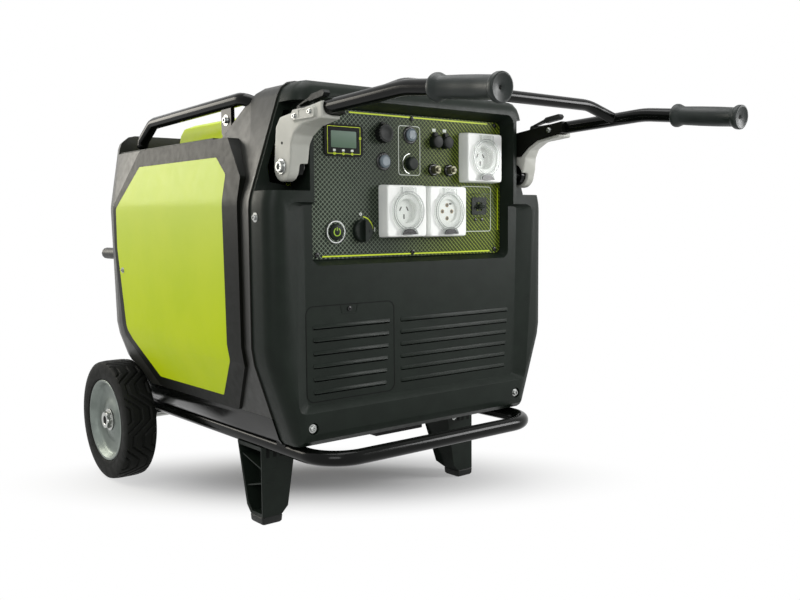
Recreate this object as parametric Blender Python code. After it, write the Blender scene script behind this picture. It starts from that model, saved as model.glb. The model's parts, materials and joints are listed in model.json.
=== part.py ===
"""Inverter generator on two wheels with a folding handle. Metres, +Z up, the control panel faces -Y."""

from math import cos, hypot, pi, radians, sin, tan

import bmesh
import bpy
from mathutils import Matrix, Vector

# Fits between pieces
GAP = 0.0003
CUT = 0.004
WALL = 0.004

# Overall size of the body
BODY_HALF_WIDTH = 0.346
BODY_TOP = 0.830

# Wheels and base frame
TYRE_RADIUS = 0.1350
TYRE_WIDTH = 0.072
RIM_RADIUS = 0.0925
WHEEL_OUTER_X = BODY_HALF_WIDTH + 0.035
AXLE_Y = 0.645
AXLE_RADIUS = 0.010
WHEEL_SEGMENTS = 24
BASE_TUBE_RADIUS = 0.014
BASE_TUBE_Z = 0.163
BASE_HALF_WIDTH = BODY_HALF_WIDTH - 0.081
BASE_BEND = 0.070
BUMPER_Y = -0.085
BASE_REAR_Y = 0.705

# Legs and feet
LEG_OUTER_X = BASE_HALF_WIDTH + 0.013
LEG_BOTTOM_WIDTH = 0.036
LEG_TOP_WIDTH = 0.050
LEG_FRONT_Y = 0.115
LEG_BOTTOM_LENGTH = 0.055
LEG_TOP_FRONT = 0.036
LEG_TOP_REAR = 0.042
FOOT_HEIGHT = 0.015

# Body outline seen from the front
LOWER_CREASE_Z = 0.345
UPPER_CREASE_Z = BODY_TOP - 0.212
LOWER_TUCK = 0.057
FRONT_LEAN = 0.340
SIDE_LEAN = 0.190
TOP_CORNER = 0.036
BOTTOM_CORNER = 0.018
CREASE_ROUND = 0.090

# Body stations from front to rear, the panel face is at zero
COVER_FRONT_Y = -0.033
COVER_FACE_Y = -0.020
SEAM_Y = 0.028
HUMP_REAR_Y = 0.105
DECK_FRONT_Y = 0.200
REAR_HUMP_Y = 0.640
BODY_REAR_Y = 0.700
COVER_ROUND = 0.025
REAR_ROUND = 0.080
REAR_TOP_ROUND = 0.040
REAR_LEAN = 0.060
SILL_Z = 0.2277
DECK_Z = BODY_TOP - 0.0927
REAR_TOP_Z = BODY_TOP - 0.048
BEAD = 0.003
BEAD_WIDTH = 0.008

# Side frame and lime panel seen from the side
FRAME_PROUD = 0.006
FRAME_FRONT_Y = 0.058
FRAME_REAR_Y = 0.618
FRAME_FRONT_BORDER = 0.052
FRAME_TOP_BORDER = 0.035
FRAME_REAR_BORDER = 0.0145
FRAME_BOTTOM_BORDER = 0.024
SIDE_PANEL_THICK = 0.003

# Head of the front cover with the bracket pockets
HEAD_HALF_WIDTH = BODY_HALF_WIDTH - 0.086
POCKET_ROOF_Z = BODY_TOP - 0.038
POCKET_FLOOR_Z = POCKET_ROOF_Z - 0.156
POCKET_BACK_Y = 0.022
PIVOT_WINDOW_X = BODY_HALF_WIDTH - 0.038

# Control panel
PANEL_HALF_WIDTH = HEAD_HALF_WIDTH - 0.0165
PANEL_TOP_Z = BODY_TOP - 0.0435
PANEL_BOTTOM_Z = PANEL_TOP_Z - 0.273
PANEL_THICK = 0.003
PANEL_RIM = 0.026

# Edges of the groups on the panel
SOCKET_SIZE = 0.1010
SOCKET_ROW_X = -0.0834
SOCKET_ROW_Z = PANEL_BOTTOM_Z + 0.0365
UPPER_SOCKET_X = PANEL_HALF_WIDTH - 0.1185
REMOTE_BOX_X = (-0.033, 0.021)
DISPLAY_RIGHT_X = 0.1235 - PANEL_HALF_WIDTH

# Controls on the panel as (x, z)
DISPLAY_SIZE = (0.088, 0.058)
DISPLAY_AT = (DISPLAY_RIGHT_X - DISPLAY_SIZE[0] / 2, PANEL_TOP_Z - 0.057)
DC_CAP_X = (DISPLAY_RIGHT_X + REMOTE_BOX_X[0]) / 2 + 0.0025
DC_CAP_AT = (DC_CAP_X, PANEL_TOP_Z - 0.0395)
DC_CAP_RADIUS = 0.0165
ECO_AT = (DC_CAP_X + 0.004, PANEL_TOP_Z - 0.0915)
REMOTE_AT = (REMOTE_BOX_X[0] + 0.029, PANEL_TOP_Z - 0.0385)
REMOTE_CAP_AT = (REMOTE_BOX_X[0] + 0.029, PANEL_TOP_Z - 0.0935)
TERMINAL_X = (REMOTE_BOX_X[1] + UPPER_SOCKET_X) / 2 + 0.002
TERMINALS_AT = [(TERMINAL_X + step, PANEL_TOP_Z - 0.1035) for step in (-0.021, 0.021)]
JACKS_AT = [(TERMINAL_X - 0.003 + step, PANEL_TOP_Z - 0.049) for step in (-0.014, 0.014)]
BREAKER_AT = (UPPER_SOCKET_X + 0.056, PANEL_TOP_Z - 0.1755)
START_AT = (0.0575 - PANEL_HALF_WIDTH, PANEL_BOTTOM_Z + 0.0495)
START_RADIUS = 0.0145
KNOB_AT = ((START_AT[0] + START_RADIUS + SOCKET_ROW_X) / 2 + 0.0035, PANEL_BOTTOM_Z + 0.051)
KNOB_RADIUS = 0.0210
ROCKER_RADIUS = 0.0125
STEM_RADIUS = 0.0045

# Sockets as (left x, bottom z)
SOCKETS_AT = {
    "left": (SOCKET_ROW_X, SOCKET_ROW_Z + 0.0006),
    "centre": (SOCKET_ROW_X + SOCKET_SIZE + 0.0055, SOCKET_ROW_Z),
    "upper": (UPPER_SOCKET_X, SOCKET_ROW_Z + SOCKET_SIZE + 0.0081),
}
SOCKET_DEPTH = 0.0255
SOCKET_WELL_RADIUS = 0.033
FLAP_RADIUS = 0.0385
FLAP_THICK = 0.0048

# Louvres
DOOR_LEFT_X = 0.081 - BODY_HALF_WIDTH
DOOR_RIGHT_X = -0.064
DOOR_BOTTOM_Z = 0.258
DOOR_TOP_Z = PANEL_BOTTOM_Z - 0.0825
DOOR_THICK = 0.003
LOUVRES = 6
LOUVRE_PITCH = (DOOR_TOP_Z - DOOR_BOTTOM_Z - 0.055) / (LOUVRES - 1)
LOUVRE_HEIGHT = 0.3 * LOUVRE_PITCH
LOUVRE_LOW_Z = DOOR_BOTTOM_Z + 0.016

# Handle
PIVOT_Y = -0.0155
PIVOT_Z = POCKET_FLOOR_Z + 0.041
PIVOT_RADIUS = 0.005
ARM_INNER_X = HEAD_HALF_WIDTH + 0.009
ARM_OUTER_X = ARM_INNER_X + 0.0375
ARM_END_RADIUS = 0.0260
ARM_LENGTH = 0.124
ARM_COVER_LENGTH = 0.134
HANDLE_TUBE_X = ARM_INNER_X + 0.0205
HANDLE_TUBE_RADIUS = 0.0125
HANDLE_TUBE_Z = PIVOT_Z + 0.0855
HANDLE_BEND_Y = -0.330
HANDLE_BEND_Z = HANDLE_TUBE_Z + 0.0132
HANDLE_END_Y = -0.527
HANDLE_END_Z = HANDLE_TUBE_Z - 0.0098
CROSS_BAR_RADIUS = 0.0108
CROSS_BAR_Y = -0.250
CROSS_BAR_RISE = 0.024
GRIP_LENGTH = 0.132
GRIP_RADIUS = 0.0168
GRIP_FLANGE_RADIUS = 0.0208
EAR_INNER_X = ARM_INNER_X + 0.0045
EAR_OUTER_X = EAR_INNER_X + 0.012
EAR_RADIUS = 0.0205
UPRIGHT_INNER_X = BASE_HALF_WIDTH + 0.001
UPRIGHT_OUTER_X = UPRIGHT_INNER_X + 0.012
UPRIGHT_FRONT_Y = 0.036
UPRIGHT_DEPTH = 0.030
LEVER_Y = -0.055
LEVER_HALF_WIDTH = 0.0065
LEVER_RISE = 0.0085

# Top rails and tank
RAIL_X = BODY_HALF_WIDTH - 0.061
RAIL_RADIUS = 0.0125
RAIL_FOOT_Y = 0.603
RAIL_REAR_Y = 0.543
RAIL_REAR_Z = DECK_Z + 0.0627
RAIL_FRONT_Y = 0.147
RAIL_FRONT_Z = DECK_Z + 0.0747
RAIL_EAR_Y = 0.208
TANK_HALF_WIDTH = RAIL_X - 0.050
TANK_FRONT_Y = 0.212
TANK_REAR_Y = 0.548
TANK_TOP_Z = DECK_Z + 0.0587
TANK_BOTTOM_Z = DECK_Z - 0.0973
TANK_LEDGE = 0.030
CAP_Y = 0.380
CAP_RADIUS = 0.036

# Exhaust and engine
EXHAUST_X = 0.021 - BODY_HALF_WIDTH
EXHAUST_Z = UPPER_CREASE_Z - 0.105
EXHAUST_END_Y = 0.732
EXHAUST_RADIUS = 0.013
MUFFLER_Y = 0.585
MUFFLER_RADIUS = 0.050
MUFFLER_LEFT_X = EXHAUST_X + 0.063
MUFFLER_RIGHT_X = 0.060
CRANK_Z = 0.330
ENGINE_FRONT_Y = 0.330
ENGINE_REAR_Y = 0.500
ENGINE_HALF_WIDTH = 0.110
ENGINE_TOP_Z = 0.430
STATOR_RADIUS = 0.118
ROTOR_RADIUS = 0.088
ROTOR_LENGTH = 0.095

# Values that follow from the sizes above
WHEEL_MID_X = WHEEL_OUTER_X - TYRE_WIDTH / 2
RIM_LIP_X = WHEEL_OUTER_X - 0.0025
BODY_BOTTOM = BASE_TUBE_Z + BASE_TUBE_RADIUS + GAP
TRAY_FLOOR = BODY_BOTTOM + WALL
DECK_TOP = DECK_Z + WALL
UPRIGHT_REAR_Y = UPRIGHT_FRONT_Y + UPRIGHT_DEPTH
PANEL_SEAT_Y = PANEL_THICK + GAP
HANDLE_TUBE_SLOPE = (HANDLE_BEND_Z - HANDLE_TUBE_Z) / (HANDLE_BEND_Y - PIVOT_Y)
ARCH_RADIUS = TYRE_RADIUS + 0.012
ARCH_INNER_X = WHEEL_OUTER_X - TYRE_WIDTH - 0.010

AXES = "XYZ"


# Scene set-up


def clear_scene():
    for obj in list(bpy.data.objects):
        bpy.data.objects.remove(obj)


def make_material(name, colour, roughness, metallic=0.0):
    mat = bpy.data.materials.new(name)
    mat.use_nodes = True
    shader = mat.node_tree.nodes["Principled BSDF"]
    shader.inputs["Base Color"].default_value = (*colour, 1.0)
    shader.inputs["Roughness"].default_value = roughness
    shader.inputs["Metallic"].default_value = metallic
    return mat


def make_empty(name, at, parent=None):
    empty = bpy.data.objects.new(name, None)
    bpy.context.scene.collection.objects.link(empty)
    empty.empty_display_size = 0.03
    empty.parent = parent
    empty.location = Vector(at) - (Vector(parent["at"]) if parent else Vector((0, 0, 0)))
    empty["at"] = Vector(at)
    return empty


# Solids


def solid(bm):
    bmesh.ops.recalc_face_normals(bm, faces=bm.faces)
    mesh = bpy.data.meshes.new("solid")
    bm.to_mesh(mesh)
    bm.free()
    obj = bpy.data.objects.new("solid", mesh)
    bpy.context.scene.collection.objects.link(obj)
    return obj


def combine(base, tools, operation):
    for tool in tools:
        modifier = base.modifiers.new("combine", "BOOLEAN")
        modifier.operation = operation
        modifier.solver = "EXACT"
        modifier.object = tool
    graph = bpy.context.evaluated_depsgraph_get()
    mesh = bpy.data.meshes.new_from_object(base.evaluated_get(graph))
    base.modifiers.clear()
    base.data = mesh
    for tool in tools:
        bpy.data.objects.remove(tool)
    return base


def join(base, *tools):
    return combine(base, tools, "UNION")


def cut(base, *tools):
    return combine(base, tools, "DIFFERENCE")


def keep(base, *tools):
    return combine(base, tools, "INTERSECT")


def part(name, obj, mat, parent):
    obj.name = name
    obj.data.name = name
    obj.data.materials.clear()
    obj.data.materials.append(mat)
    obj.data.transform(Matrix.Translation(-Vector(parent["at"])))
    obj.data.shade_smooth()
    obj.data.set_sharp_from_angle(angle=radians(32))
    obj.parent = parent
    return obj


def lift(point, axis, along):
    values = list(point)
    values.insert(AXES.index(axis), along)
    return Vector(values)


def loft(rings, closed=False):
    bm = bmesh.new()
    rows = [[bm.verts.new(point) for point in ring] for ring in rings]
    count = len(rows[0])
    pairs = list(zip(rows, rows[1:]))
    if closed:
        pairs.append((rows[-1], rows[0]))
    for low, high in pairs:
        for k in range(count):
            after = (k + 1) % count
            bm.faces.new((low[k], low[after], high[after], high[k]))
    if not closed:
        bm.faces.new(rows[0])
        bm.faces.new(rows[-1])
    return solid(bm)


def prism(outline, axis, low, high):
    low, high = min(low, high), max(low, high)
    return loft([[lift(point, axis, along) for point in outline] for along in (low, high)])


def rectangle(u, v):
    return [(u[0], v[0]), (u[1], v[0]), (u[1], v[1]), (u[0], v[1])]


def box(x, y, z):
    return prism(rectangle(sorted(x), sorted(y)), "Z", z[0], z[1])


def boxes(spans):
    bm = bmesh.new()
    for x, y, z in spans:
        centre = Vector((sum(x) / 2, sum(y) / 2, sum(z) / 2))
        size = Vector((abs(x[1] - x[0]), abs(y[1] - y[0]), abs(z[1] - z[0])))
        place = Matrix.Translation(centre) @ Matrix.Diagonal((*size, 1))
        bmesh.ops.create_cube(bm, size=1.0, matrix=place)
    return solid(bm)


def circle(centre, radius, steps, start=0.0, sweep=2 * pi):
    count = steps if sweep >= 2 * pi - 1e-6 else steps + 1
    turns = [start + sweep * k / steps for k in range(count)]
    return [(centre[0] + radius * cos(turn), centre[1] + radius * sin(turn)) for turn in turns]


def rod(axis, centre, radius, low, high, steps=16):
    return prism(circle(centre, radius, steps, pi / steps), axis, low, high)


def hole(axis, centre, radius, low, high, steps=16):
    return rod(axis, centre, radius / cos(pi / steps), low, high, steps)


def rounded(points, radii, steps=3, closed=True):
    corners = [Vector(point) for point in points]
    last = len(corners) - 1
    result = []
    for k, corner in enumerate(corners):
        radius = radii if isinstance(radii, float) else radii[k]
        pieces = steps if isinstance(steps, int) else steps[k]
        if radius <= 0 or (not closed and k in (0, last)):
            result.append(tuple(corner))
            continue
        before = (corners[k - 1] - corner).normalized()
        after = (corners[(k + 1) % len(corners)] - corner).normalized()
        half = before.angle(after) / 2
        centre = corner + (before + after).normalized() * (radius / sin(half))
        start = corner + before * (radius / tan(half)) - centre
        end = corner + after * (radius / tan(half)) - centre
        for step in range(pieces + 1):
            blend = step / pieces
            arm = (start * (1 - blend) + end * blend).normalized() * radius
            result.append(tuple(centre + arm))
    return result


def offset_outline(points, distance):
    count = len(points)
    lines = []
    for k in range(count):
        start = Vector(points[k])
        along = (Vector(points[(k + 1) % count]) - start).normalized()
        outward = Vector((along.y, -along.x))
        lines.append((start + outward * distance, along))
    moved = []
    for k in range(count):
        a, u = lines[k - 1]
        b, v = lines[k]
        cross = u.x * v.y - u.y * v.x
        reach = ((b.x - a.x) * v.y - (b.y - a.y) * v.x) / cross
        moved.append(tuple(a + u * reach))
    return moved


def lathe(profile, axis, centre, segments, radius_at=None):
    bm = bmesh.new()
    rows = []
    for k in range(segments):
        turn = 2 * pi * k / segments - pi / 2
        row = []
        for j, (radius, along) in enumerate(profile):
            if radius == 0 and k > 0:
                row.append(rows[0][j])
                continue
            reach = radius_at(k, j, radius) if radius_at else radius
            flat = (centre[0] + reach * cos(turn), centre[1] + reach * sin(turn))
            row.append(bm.verts.new(lift(flat, axis, along)))
        rows.append(row)
    count = len(profile)
    ring = profile[0][0] > 0
    for k in range(segments):
        here, there = rows[k], rows[(k + 1) % segments]
        for j in range(count if ring else count - 1):
            after = (j + 1) % count
            face = []
            for vert in (here[j], here[after], there[after], there[j]):
                if vert not in face:
                    face.append(vert)
            bm.faces.new(face)
    return solid(bm)


def pipe(path, radius, up, sides=10, closed=False):
    points = [Vector(point) for point in path]
    count = len(points)
    rings = []
    for k, point in enumerate(points):
        before = points[k - 1] if closed or k > 0 else point
        after = points[(k + 1) % count] if closed or k < count - 1 else point
        along = (after - before).normalized()
        side = along.cross(Vector(up)).normalized()
        top = side.cross(along)
        turns = [2 * pi * j / sides for j in range(sides)]
        rings.append([point + radius * (cos(t) * side + sin(t) * top) for t in turns])
    return loft(rings, closed)


# Shared outlines


def outline_half_width(z, lean=FRONT_LEAN):
    return BODY_HALF_WIDTH - lean * (z - UPPER_CREASE_Z)


def body_outline(offset=0.0, top=BODY_TOP, lean=FRONT_LEAN):
    right = [
        (BODY_HALF_WIDTH - LOWER_TUCK, BODY_BOTTOM),
        (BODY_HALF_WIDTH, LOWER_CREASE_Z),
        (BODY_HALF_WIDTH, UPPER_CREASE_Z),
        (outline_half_width(top, lean), top),
    ]
    corners = right + [(-x, z) for x, z in reversed(right)]
    radii = [BOTTOM_CORNER, CREASE_ROUND, CREASE_ROUND, TOP_CORNER]
    radii = [max(radius + offset, 0.002) for radius in radii + radii[::-1]]
    steps = [2, 1, 2, 3]
    return rounded(offset_outline(corners, offset), radii, steps + steps[::-1])


def round_stations(end, radius, sign, steps=3):
    turns = [pi / 2 * step / steps for step in range(steps + 1)]
    return [(end - sign * radius * (1 - sin(turn)), -radius * (1 - cos(turn))) for turn in turns]


def body_loft(stations, lean=FRONT_LEAN):
    return loft([[(x, y, z) for x, z in body_outline(offset, BODY_TOP, lean)] for y, offset in stations])


def body_solid(front, rear, offset=0.0, lean=FRONT_LEAN, front_round=0.0, rear_round=0.0):
    head = [(front, 0.0)]
    tail = [(rear, 0.0)]
    if front_round:
        head = round_stations(front, front_round, -1)[::-1]
    if rear_round:
        tail = round_stations(rear, rear_round, 1)
    return body_loft([(y, offset + inset) for y, inset in head + tail], lean)


def beaded_solid(rear, rear_round=0.0):
    stations = [(SEAM_Y + GAP, BEAD), (SEAM_Y + 0.7 * BEAD_WIDTH, BEAD), (SEAM_Y + BEAD_WIDTH, 0.0)]
    tail = round_stations(rear, rear_round, 1) if rear_round else [(rear, 0.0)]
    return body_loft(stations + tail)


def wheel_arches(grow=0.0):
    arches = []
    for side in (-1, 1):
        span = (side * (ARCH_INNER_X - grow), side * 0.5)
        arches.append(rod("X", (AXLE_Y, TYRE_RADIUS), ARCH_RADIUS + grow, *span, 28))
    return arches


def rear_setback(z):
    return REAR_LEAN * (UPPER_CREASE_Z - z)


def rear_solid(front, offset, rear_round):
    rear = BODY_REAR_Y - FRAME_PROUD + offset
    rings = []
    for y, inset in [(front, 0.0)] + round_stations(rear, rear_round, 1):
        share = 0.0 if y == front else 1.0
        drop = inset * REAR_TOP_ROUND / REAR_ROUND
        outline = body_outline(offset + inset, REAR_TOP_Z - FRAME_PROUD + drop - inset, SIDE_LEAN)
        rings.append([(x, y - share * rear_setback(z), z) for x, z in outline])
    return loft(rings)


def frame_corners():
    top = DECK_Z - GAP
    bottom = SILL_Z + GAP
    return [
        (FRAME_FRONT_Y, LOWER_CREASE_Z - 0.020),
        (FRAME_FRONT_Y + 0.084, bottom),
        (FRAME_REAR_Y - 0.136, bottom),
        (FRAME_REAR_Y - 0.036, LOWER_CREASE_Z - 0.009),
        (FRAME_REAR_Y, UPPER_CREASE_Z - 0.083),
        (FRAME_REAR_Y, UPPER_CREASE_Z + 0.004),
        (FRAME_REAR_Y - 0.100, top),
        (FRAME_FRONT_Y + 0.073, top),
        (FRAME_FRONT_Y + 0.005, UPPER_CREASE_Z + 0.044),
    ]


def panel_corners():
    front = FRAME_FRONT_Y + FRAME_FRONT_BORDER
    rear = FRAME_REAR_Y - FRAME_REAR_BORDER
    top = DECK_Z - GAP - FRAME_TOP_BORDER
    bottom = SILL_Z + GAP + FRAME_BOTTOM_BORDER
    return [
        (front, LOWER_CREASE_Z - 0.016),
        (front + 0.075, bottom),
        (rear - 0.137, bottom),
        (rear - 0.039, LOWER_CREASE_Z + 0.002),
        (rear, UPPER_CREASE_Z - 0.089),
        (rear, UPPER_CREASE_Z - 0.004),
        (rear - 0.096, top),
        (front + 0.054, top),
        (front + 0.009, UPPER_CREASE_Z + 0.051),
    ]


def frame_outline(offset=0.0):
    return rounded(offset_outline(frame_corners(), offset), 0.012, 2)


def panel_outline(offset=0.0):
    return rounded(offset_outline(panel_corners(), offset), 0.008, 2)


def side_slab(outline, side, inner=0.2, outer=0.5):
    return prism(outline, "X", side * inner, side * outer)


def frame_cutters():
    return [side_slab(frame_outline(GAP), side) for side in (-1, 1)]


# Base, wheels and legs


def build_base_frame():
    corners = [
        (-BASE_HALF_WIDTH, BUMPER_Y, BASE_TUBE_Z),
        (BASE_HALF_WIDTH, BUMPER_Y, BASE_TUBE_Z),
        (BASE_HALF_WIDTH, BASE_REAR_Y, BASE_TUBE_Z),
        (-BASE_HALF_WIDTH, BASE_REAR_Y, BASE_TUBE_Z),
    ]
    path = rounded(corners, [BASE_BEND, BASE_BEND, 0.045, 0.045], 4)
    frame = pipe(path, BASE_TUBE_RADIUS, (0, 0, 1), 8, closed=True)
    additions = []
    member = 0.65 * BASE_TUBE_RADIUS
    for y in (LEG_FRONT_Y + 0.030, 0.420):
        additions.append(rod("X", (y, BASE_TUBE_Z), member, -BASE_HALF_WIDTH, BASE_HALF_WIDTH, 8))
    holes = []
    for side in (-1, 1):
        additions.append(
            box(
                (side * UPRIGHT_INNER_X, side * UPRIGHT_OUTER_X),
                (UPRIGHT_FRONT_Y, UPRIGHT_REAR_Y),
                (BASE_TUBE_Z, PIVOT_Z + EAR_RADIUS + 0.002),
            )
        )
        ear = circle((PIVOT_Y, PIVOT_Z), EAR_RADIUS, 8, pi / 2, pi)
        ear_rear = UPRIGHT_REAR_Y - 0.004
        ear += [(ear_rear, PIVOT_Z - EAR_RADIUS), (ear_rear, PIVOT_Z + EAR_RADIUS)]
        additions.append(prism(ear, "X", side * EAR_INNER_X, side * EAR_OUTER_X))
        plate = [(AXLE_Y - 0.032, BASE_TUBE_Z), *circle((AXLE_Y, TYRE_RADIUS), 0.021, 6, pi, pi)]
        plate.append((AXLE_Y + 0.032, BASE_TUBE_Z))
        plate_x = (side * (BASE_HALF_WIDTH - 0.003), side * (BASE_HALF_WIDTH + 0.003))
        additions.append(prism(plate, "X", *plate_x))
        ear_span = (side * (EAR_INNER_X - CUT), side * (EAR_OUTER_X + CUT))
        holes.append(hole("X", (PIVOT_Y, PIVOT_Z), PIVOT_RADIUS + GAP, *ear_span, 12))
        plate_span = (side * (BASE_HALF_WIDTH - 0.010), side * (BASE_HALF_WIDTH + 0.010))
        holes.append(hole("X", (AXLE_Y, TYRE_RADIUS), AXLE_RADIUS + GAP, *plate_span, 16))
    return cut(join(frame, *additions), *holes)


def build_base_tray():
    rear = BODY_REAR_Y - FRAME_PROUD - rear_setback(SILL_Z)
    bend = REAR_ROUND - FRAME_PROUD
    tray = beaded_solid(rear, bend)
    inner = body_solid(SEAM_Y - CUT, rear - WALL, -WALL, rear_round=bend - WALL)
    inner = cut(inner, *wheel_arches(WALL))
    below = box((-1, 1), (-1, 1), (0, BODY_BOTTOM))
    tray = cut(tray, box((-1, 1), (-1, 1), (SILL_Z, 1)), below, inner, *wheel_arches())
    sump = box((-0.060, 0.060), (SEAM_Y + 0.016, SEAM_Y + 0.060), (BASE_TUBE_Z - 0.008, TRAY_FLOOR - 0.001))
    tray = join(tray, sump)
    slots = []
    for side in (-1, 1):
        slots.append(
            (
                (side * (UPRIGHT_INNER_X - GAP), side * (UPRIGHT_OUTER_X + GAP)),
                (UPRIGHT_FRONT_Y - GAP, UPRIGHT_REAR_Y + GAP),
                (BODY_BOTTOM - CUT, TRAY_FLOOR + CUT),
            )
        )
    return cut(tray, boxes(slots))


def build_axle():
    bracket = BASE_HALF_WIDTH + 0.003 + GAP
    hub_inner = RIM_LIP_X - 0.048 - GAP
    hub_outer = RIM_LIP_X - 0.011 + GAP
    half = [
        (AXLE_RADIUS, bracket),
        (0.014, bracket),
        (0.014, hub_inner),
        (AXLE_RADIUS, hub_inner),
        (AXLE_RADIUS, hub_outer),
        (0.016, hub_outer),
        (0.016, hub_outer + 0.009),
        (0, hub_outer + 0.009),
    ]
    profile = [(radius, -x) for radius, x in reversed(half)] + half
    return lathe(profile, "X", (AXLE_Y, TYRE_RADIUS), 10)


def tread_radius(segment, point, radius):
    in_groove = point < 4 and segment % 3 == 1
    return radius - 0.004 if in_groove else radius


def build_tyre(side):
    half = TYRE_WIDTH / 2
    bead = RIM_RADIUS + GAP
    profile = [
        (TYRE_RADIUS - 0.004, -half + 0.006),
        (TYRE_RADIUS, -half + 0.015),
        (TYRE_RADIUS, half - 0.015),
        (TYRE_RADIUS - 0.004, half - 0.006),
        (TYRE_RADIUS - 0.018, half),
        (bead + 0.012, half),
        (bead, half - 0.005),
        (bead, -half + 0.005),
        (bead + 0.012, -half),
        (TYRE_RADIUS - 0.018, -half),
    ]
    placed = [(radius, side * (WHEEL_MID_X + x)) for radius, x in profile]
    return lathe(placed, "X", (AXLE_Y, TYRE_RADIUS), WHEEL_SEGMENTS, tread_radius)


def build_rim(side):
    lip = RIM_LIP_X
    inner = WHEEL_OUTER_X - TYRE_WIDTH + 0.005
    profile = [
        (RIM_RADIUS, inner),
        (RIM_RADIUS, lip),
        (RIM_RADIUS - 0.006, lip),
        (RIM_RADIUS - 0.013, lip - 0.013),
        (0.052, lip - 0.019),
        (0.030, lip - 0.012),
        (AXLE_RADIUS + GAP, lip - 0.011),
        (AXLE_RADIUS + GAP, lip - 0.048),
        (0.020, lip - 0.048),
        (0.026, lip - 0.028),
        (0.052, lip - 0.027),
        (RIM_RADIUS - 0.011, lip - 0.027),
        (RIM_RADIUS - 0.008, inner),
    ]
    placed = [(radius, side * x) for radius, x in profile]
    return lathe(placed, "X", (AXLE_Y, TYRE_RADIUS), WHEEL_SEGMENTS)


def leg_ring(x, y, z):
    return [(x[0], y[0], z), (x[1], y[0], z), (x[1], y[1], z), (x[0], y[1], z)]


def build_leg(side):
    top = BASE_TUBE_Z - 0.7 * BASE_TUBE_RADIUS
    low = FOOT_HEIGHT + GAP
    rear = LEG_FRONT_Y + LEG_BOTTOM_LENGTH
    outer = side * LEG_OUTER_X
    bottom_x = (side * (LEG_OUTER_X - LEG_BOTTOM_WIDTH), outer)
    top_x = (side * (LEG_OUTER_X - LEG_TOP_WIDTH), outer)
    top_y = (LEG_FRONT_Y - LEG_TOP_FRONT, rear + LEG_TOP_REAR)
    leg = loft([leg_ring(bottom_x, (LEG_FRONT_Y, rear), low), leg_ring(top_x, top_y, top)])
    wall = 0.006
    pocket_low = low + wall
    pocket_top = BASE_TUBE_Z - BASE_TUBE_RADIUS - 2 * wall
    share = [(z - low) / (top - low) for z in (pocket_low, pocket_top)]
    fronts = [LEG_FRONT_Y - LEG_TOP_FRONT * part_up + wall for part_up in share]
    rears = [rear + LEG_TOP_REAR * part_up - wall for part_up in share]
    pocket = [(fronts[0], pocket_low), (rears[0], pocket_low)]
    pocket += [(rears[1], pocket_top), (fronts[1], pocket_top)]
    depth = side * (LEG_OUTER_X - LEG_BOTTOM_WIDTH + wall)
    leg = cut(
        leg,
        prism(pocket, "X", depth, outer + side * CUT),
        rod("Y", (side * BASE_HALF_WIDTH, BASE_TUBE_Z), BASE_TUBE_RADIUS + GAP, 0.0, 0.4, 20),
    )
    ribs = []
    for y_low, y_high in ((fronts[0], rears[1]), (rears[0], fronts[1])):
        step = 0.0035 if y_low < y_high else -0.0035
        rib = [
            (y_low - step, pocket_low - 0.003),
            (y_low + step, pocket_low - 0.003),
            (y_high + step, pocket_top + 0.003),
            (y_high - step, pocket_top + 0.003),
        ]
        ribs.append(prism(rib, "X", depth - side * 0.002, outer - side * 0.006))
    return join(leg, *ribs)


def build_foot(side):
    inner = LEG_OUTER_X - LEG_BOTTOM_WIDTH
    rear = LEG_FRONT_Y + LEG_BOTTOM_LENGTH
    rings = []
    for z, grow in ((0.0, 0.001), (0.004, 0.003), (FOOT_HEIGHT, 0.0)):
        x = (side * (inner - grow), side * (LEG_OUTER_X + grow))
        rings.append(leg_ring(x, (LEG_FRONT_Y - grow, rear + grow), z))
    return loft(rings)


# Body covers


def rect_ring(x, z, y, radius):
    return [lift(point, "Y", y) for point in rounded(rectangle(x, z), radius)]


def louvre_spans(left, right, front, back):
    spans = []
    for k in range(LOUVRES):
        z = LOUVRE_LOW_Z + k * LOUVRE_PITCH
        end = right + 0.010 * k / (LOUVRES - 1)
        spans.append(((left, end), (front, back), (z - LOUVRE_HEIGHT / 2, z + LOUVRE_HEIGHT / 2)))
    return spans


def cover_cavities():
    face_back = COVER_FACE_Y + 0.0075
    seat_back = PANEL_SEAT_Y + WALL
    end = SEAM_Y + CUT
    ledge = PANEL_BOTTOM_Z - 0.020
    lower = body_solid(face_back, end, -WALL)
    lower = cut(lower, box((-1, 1), (-1, 1), (ledge, 1)))
    middle = body_solid(seat_back, end, -WALL)
    above = box((-1, 1), (-1, 1), (POCKET_FLOOR_Z - WALL, 1))
    middle = cut(middle, above, box((-1, 1), (-1, 1), (0, ledge - 0.001)))
    head = HEAD_HALF_WIDTH - WALL
    upper = box((-head, head), (seat_back, end), (POCKET_FLOOR_Z - WALL - 0.001, BODY_TOP - 2 * WALL))
    return [lower, middle, upper]


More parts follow.
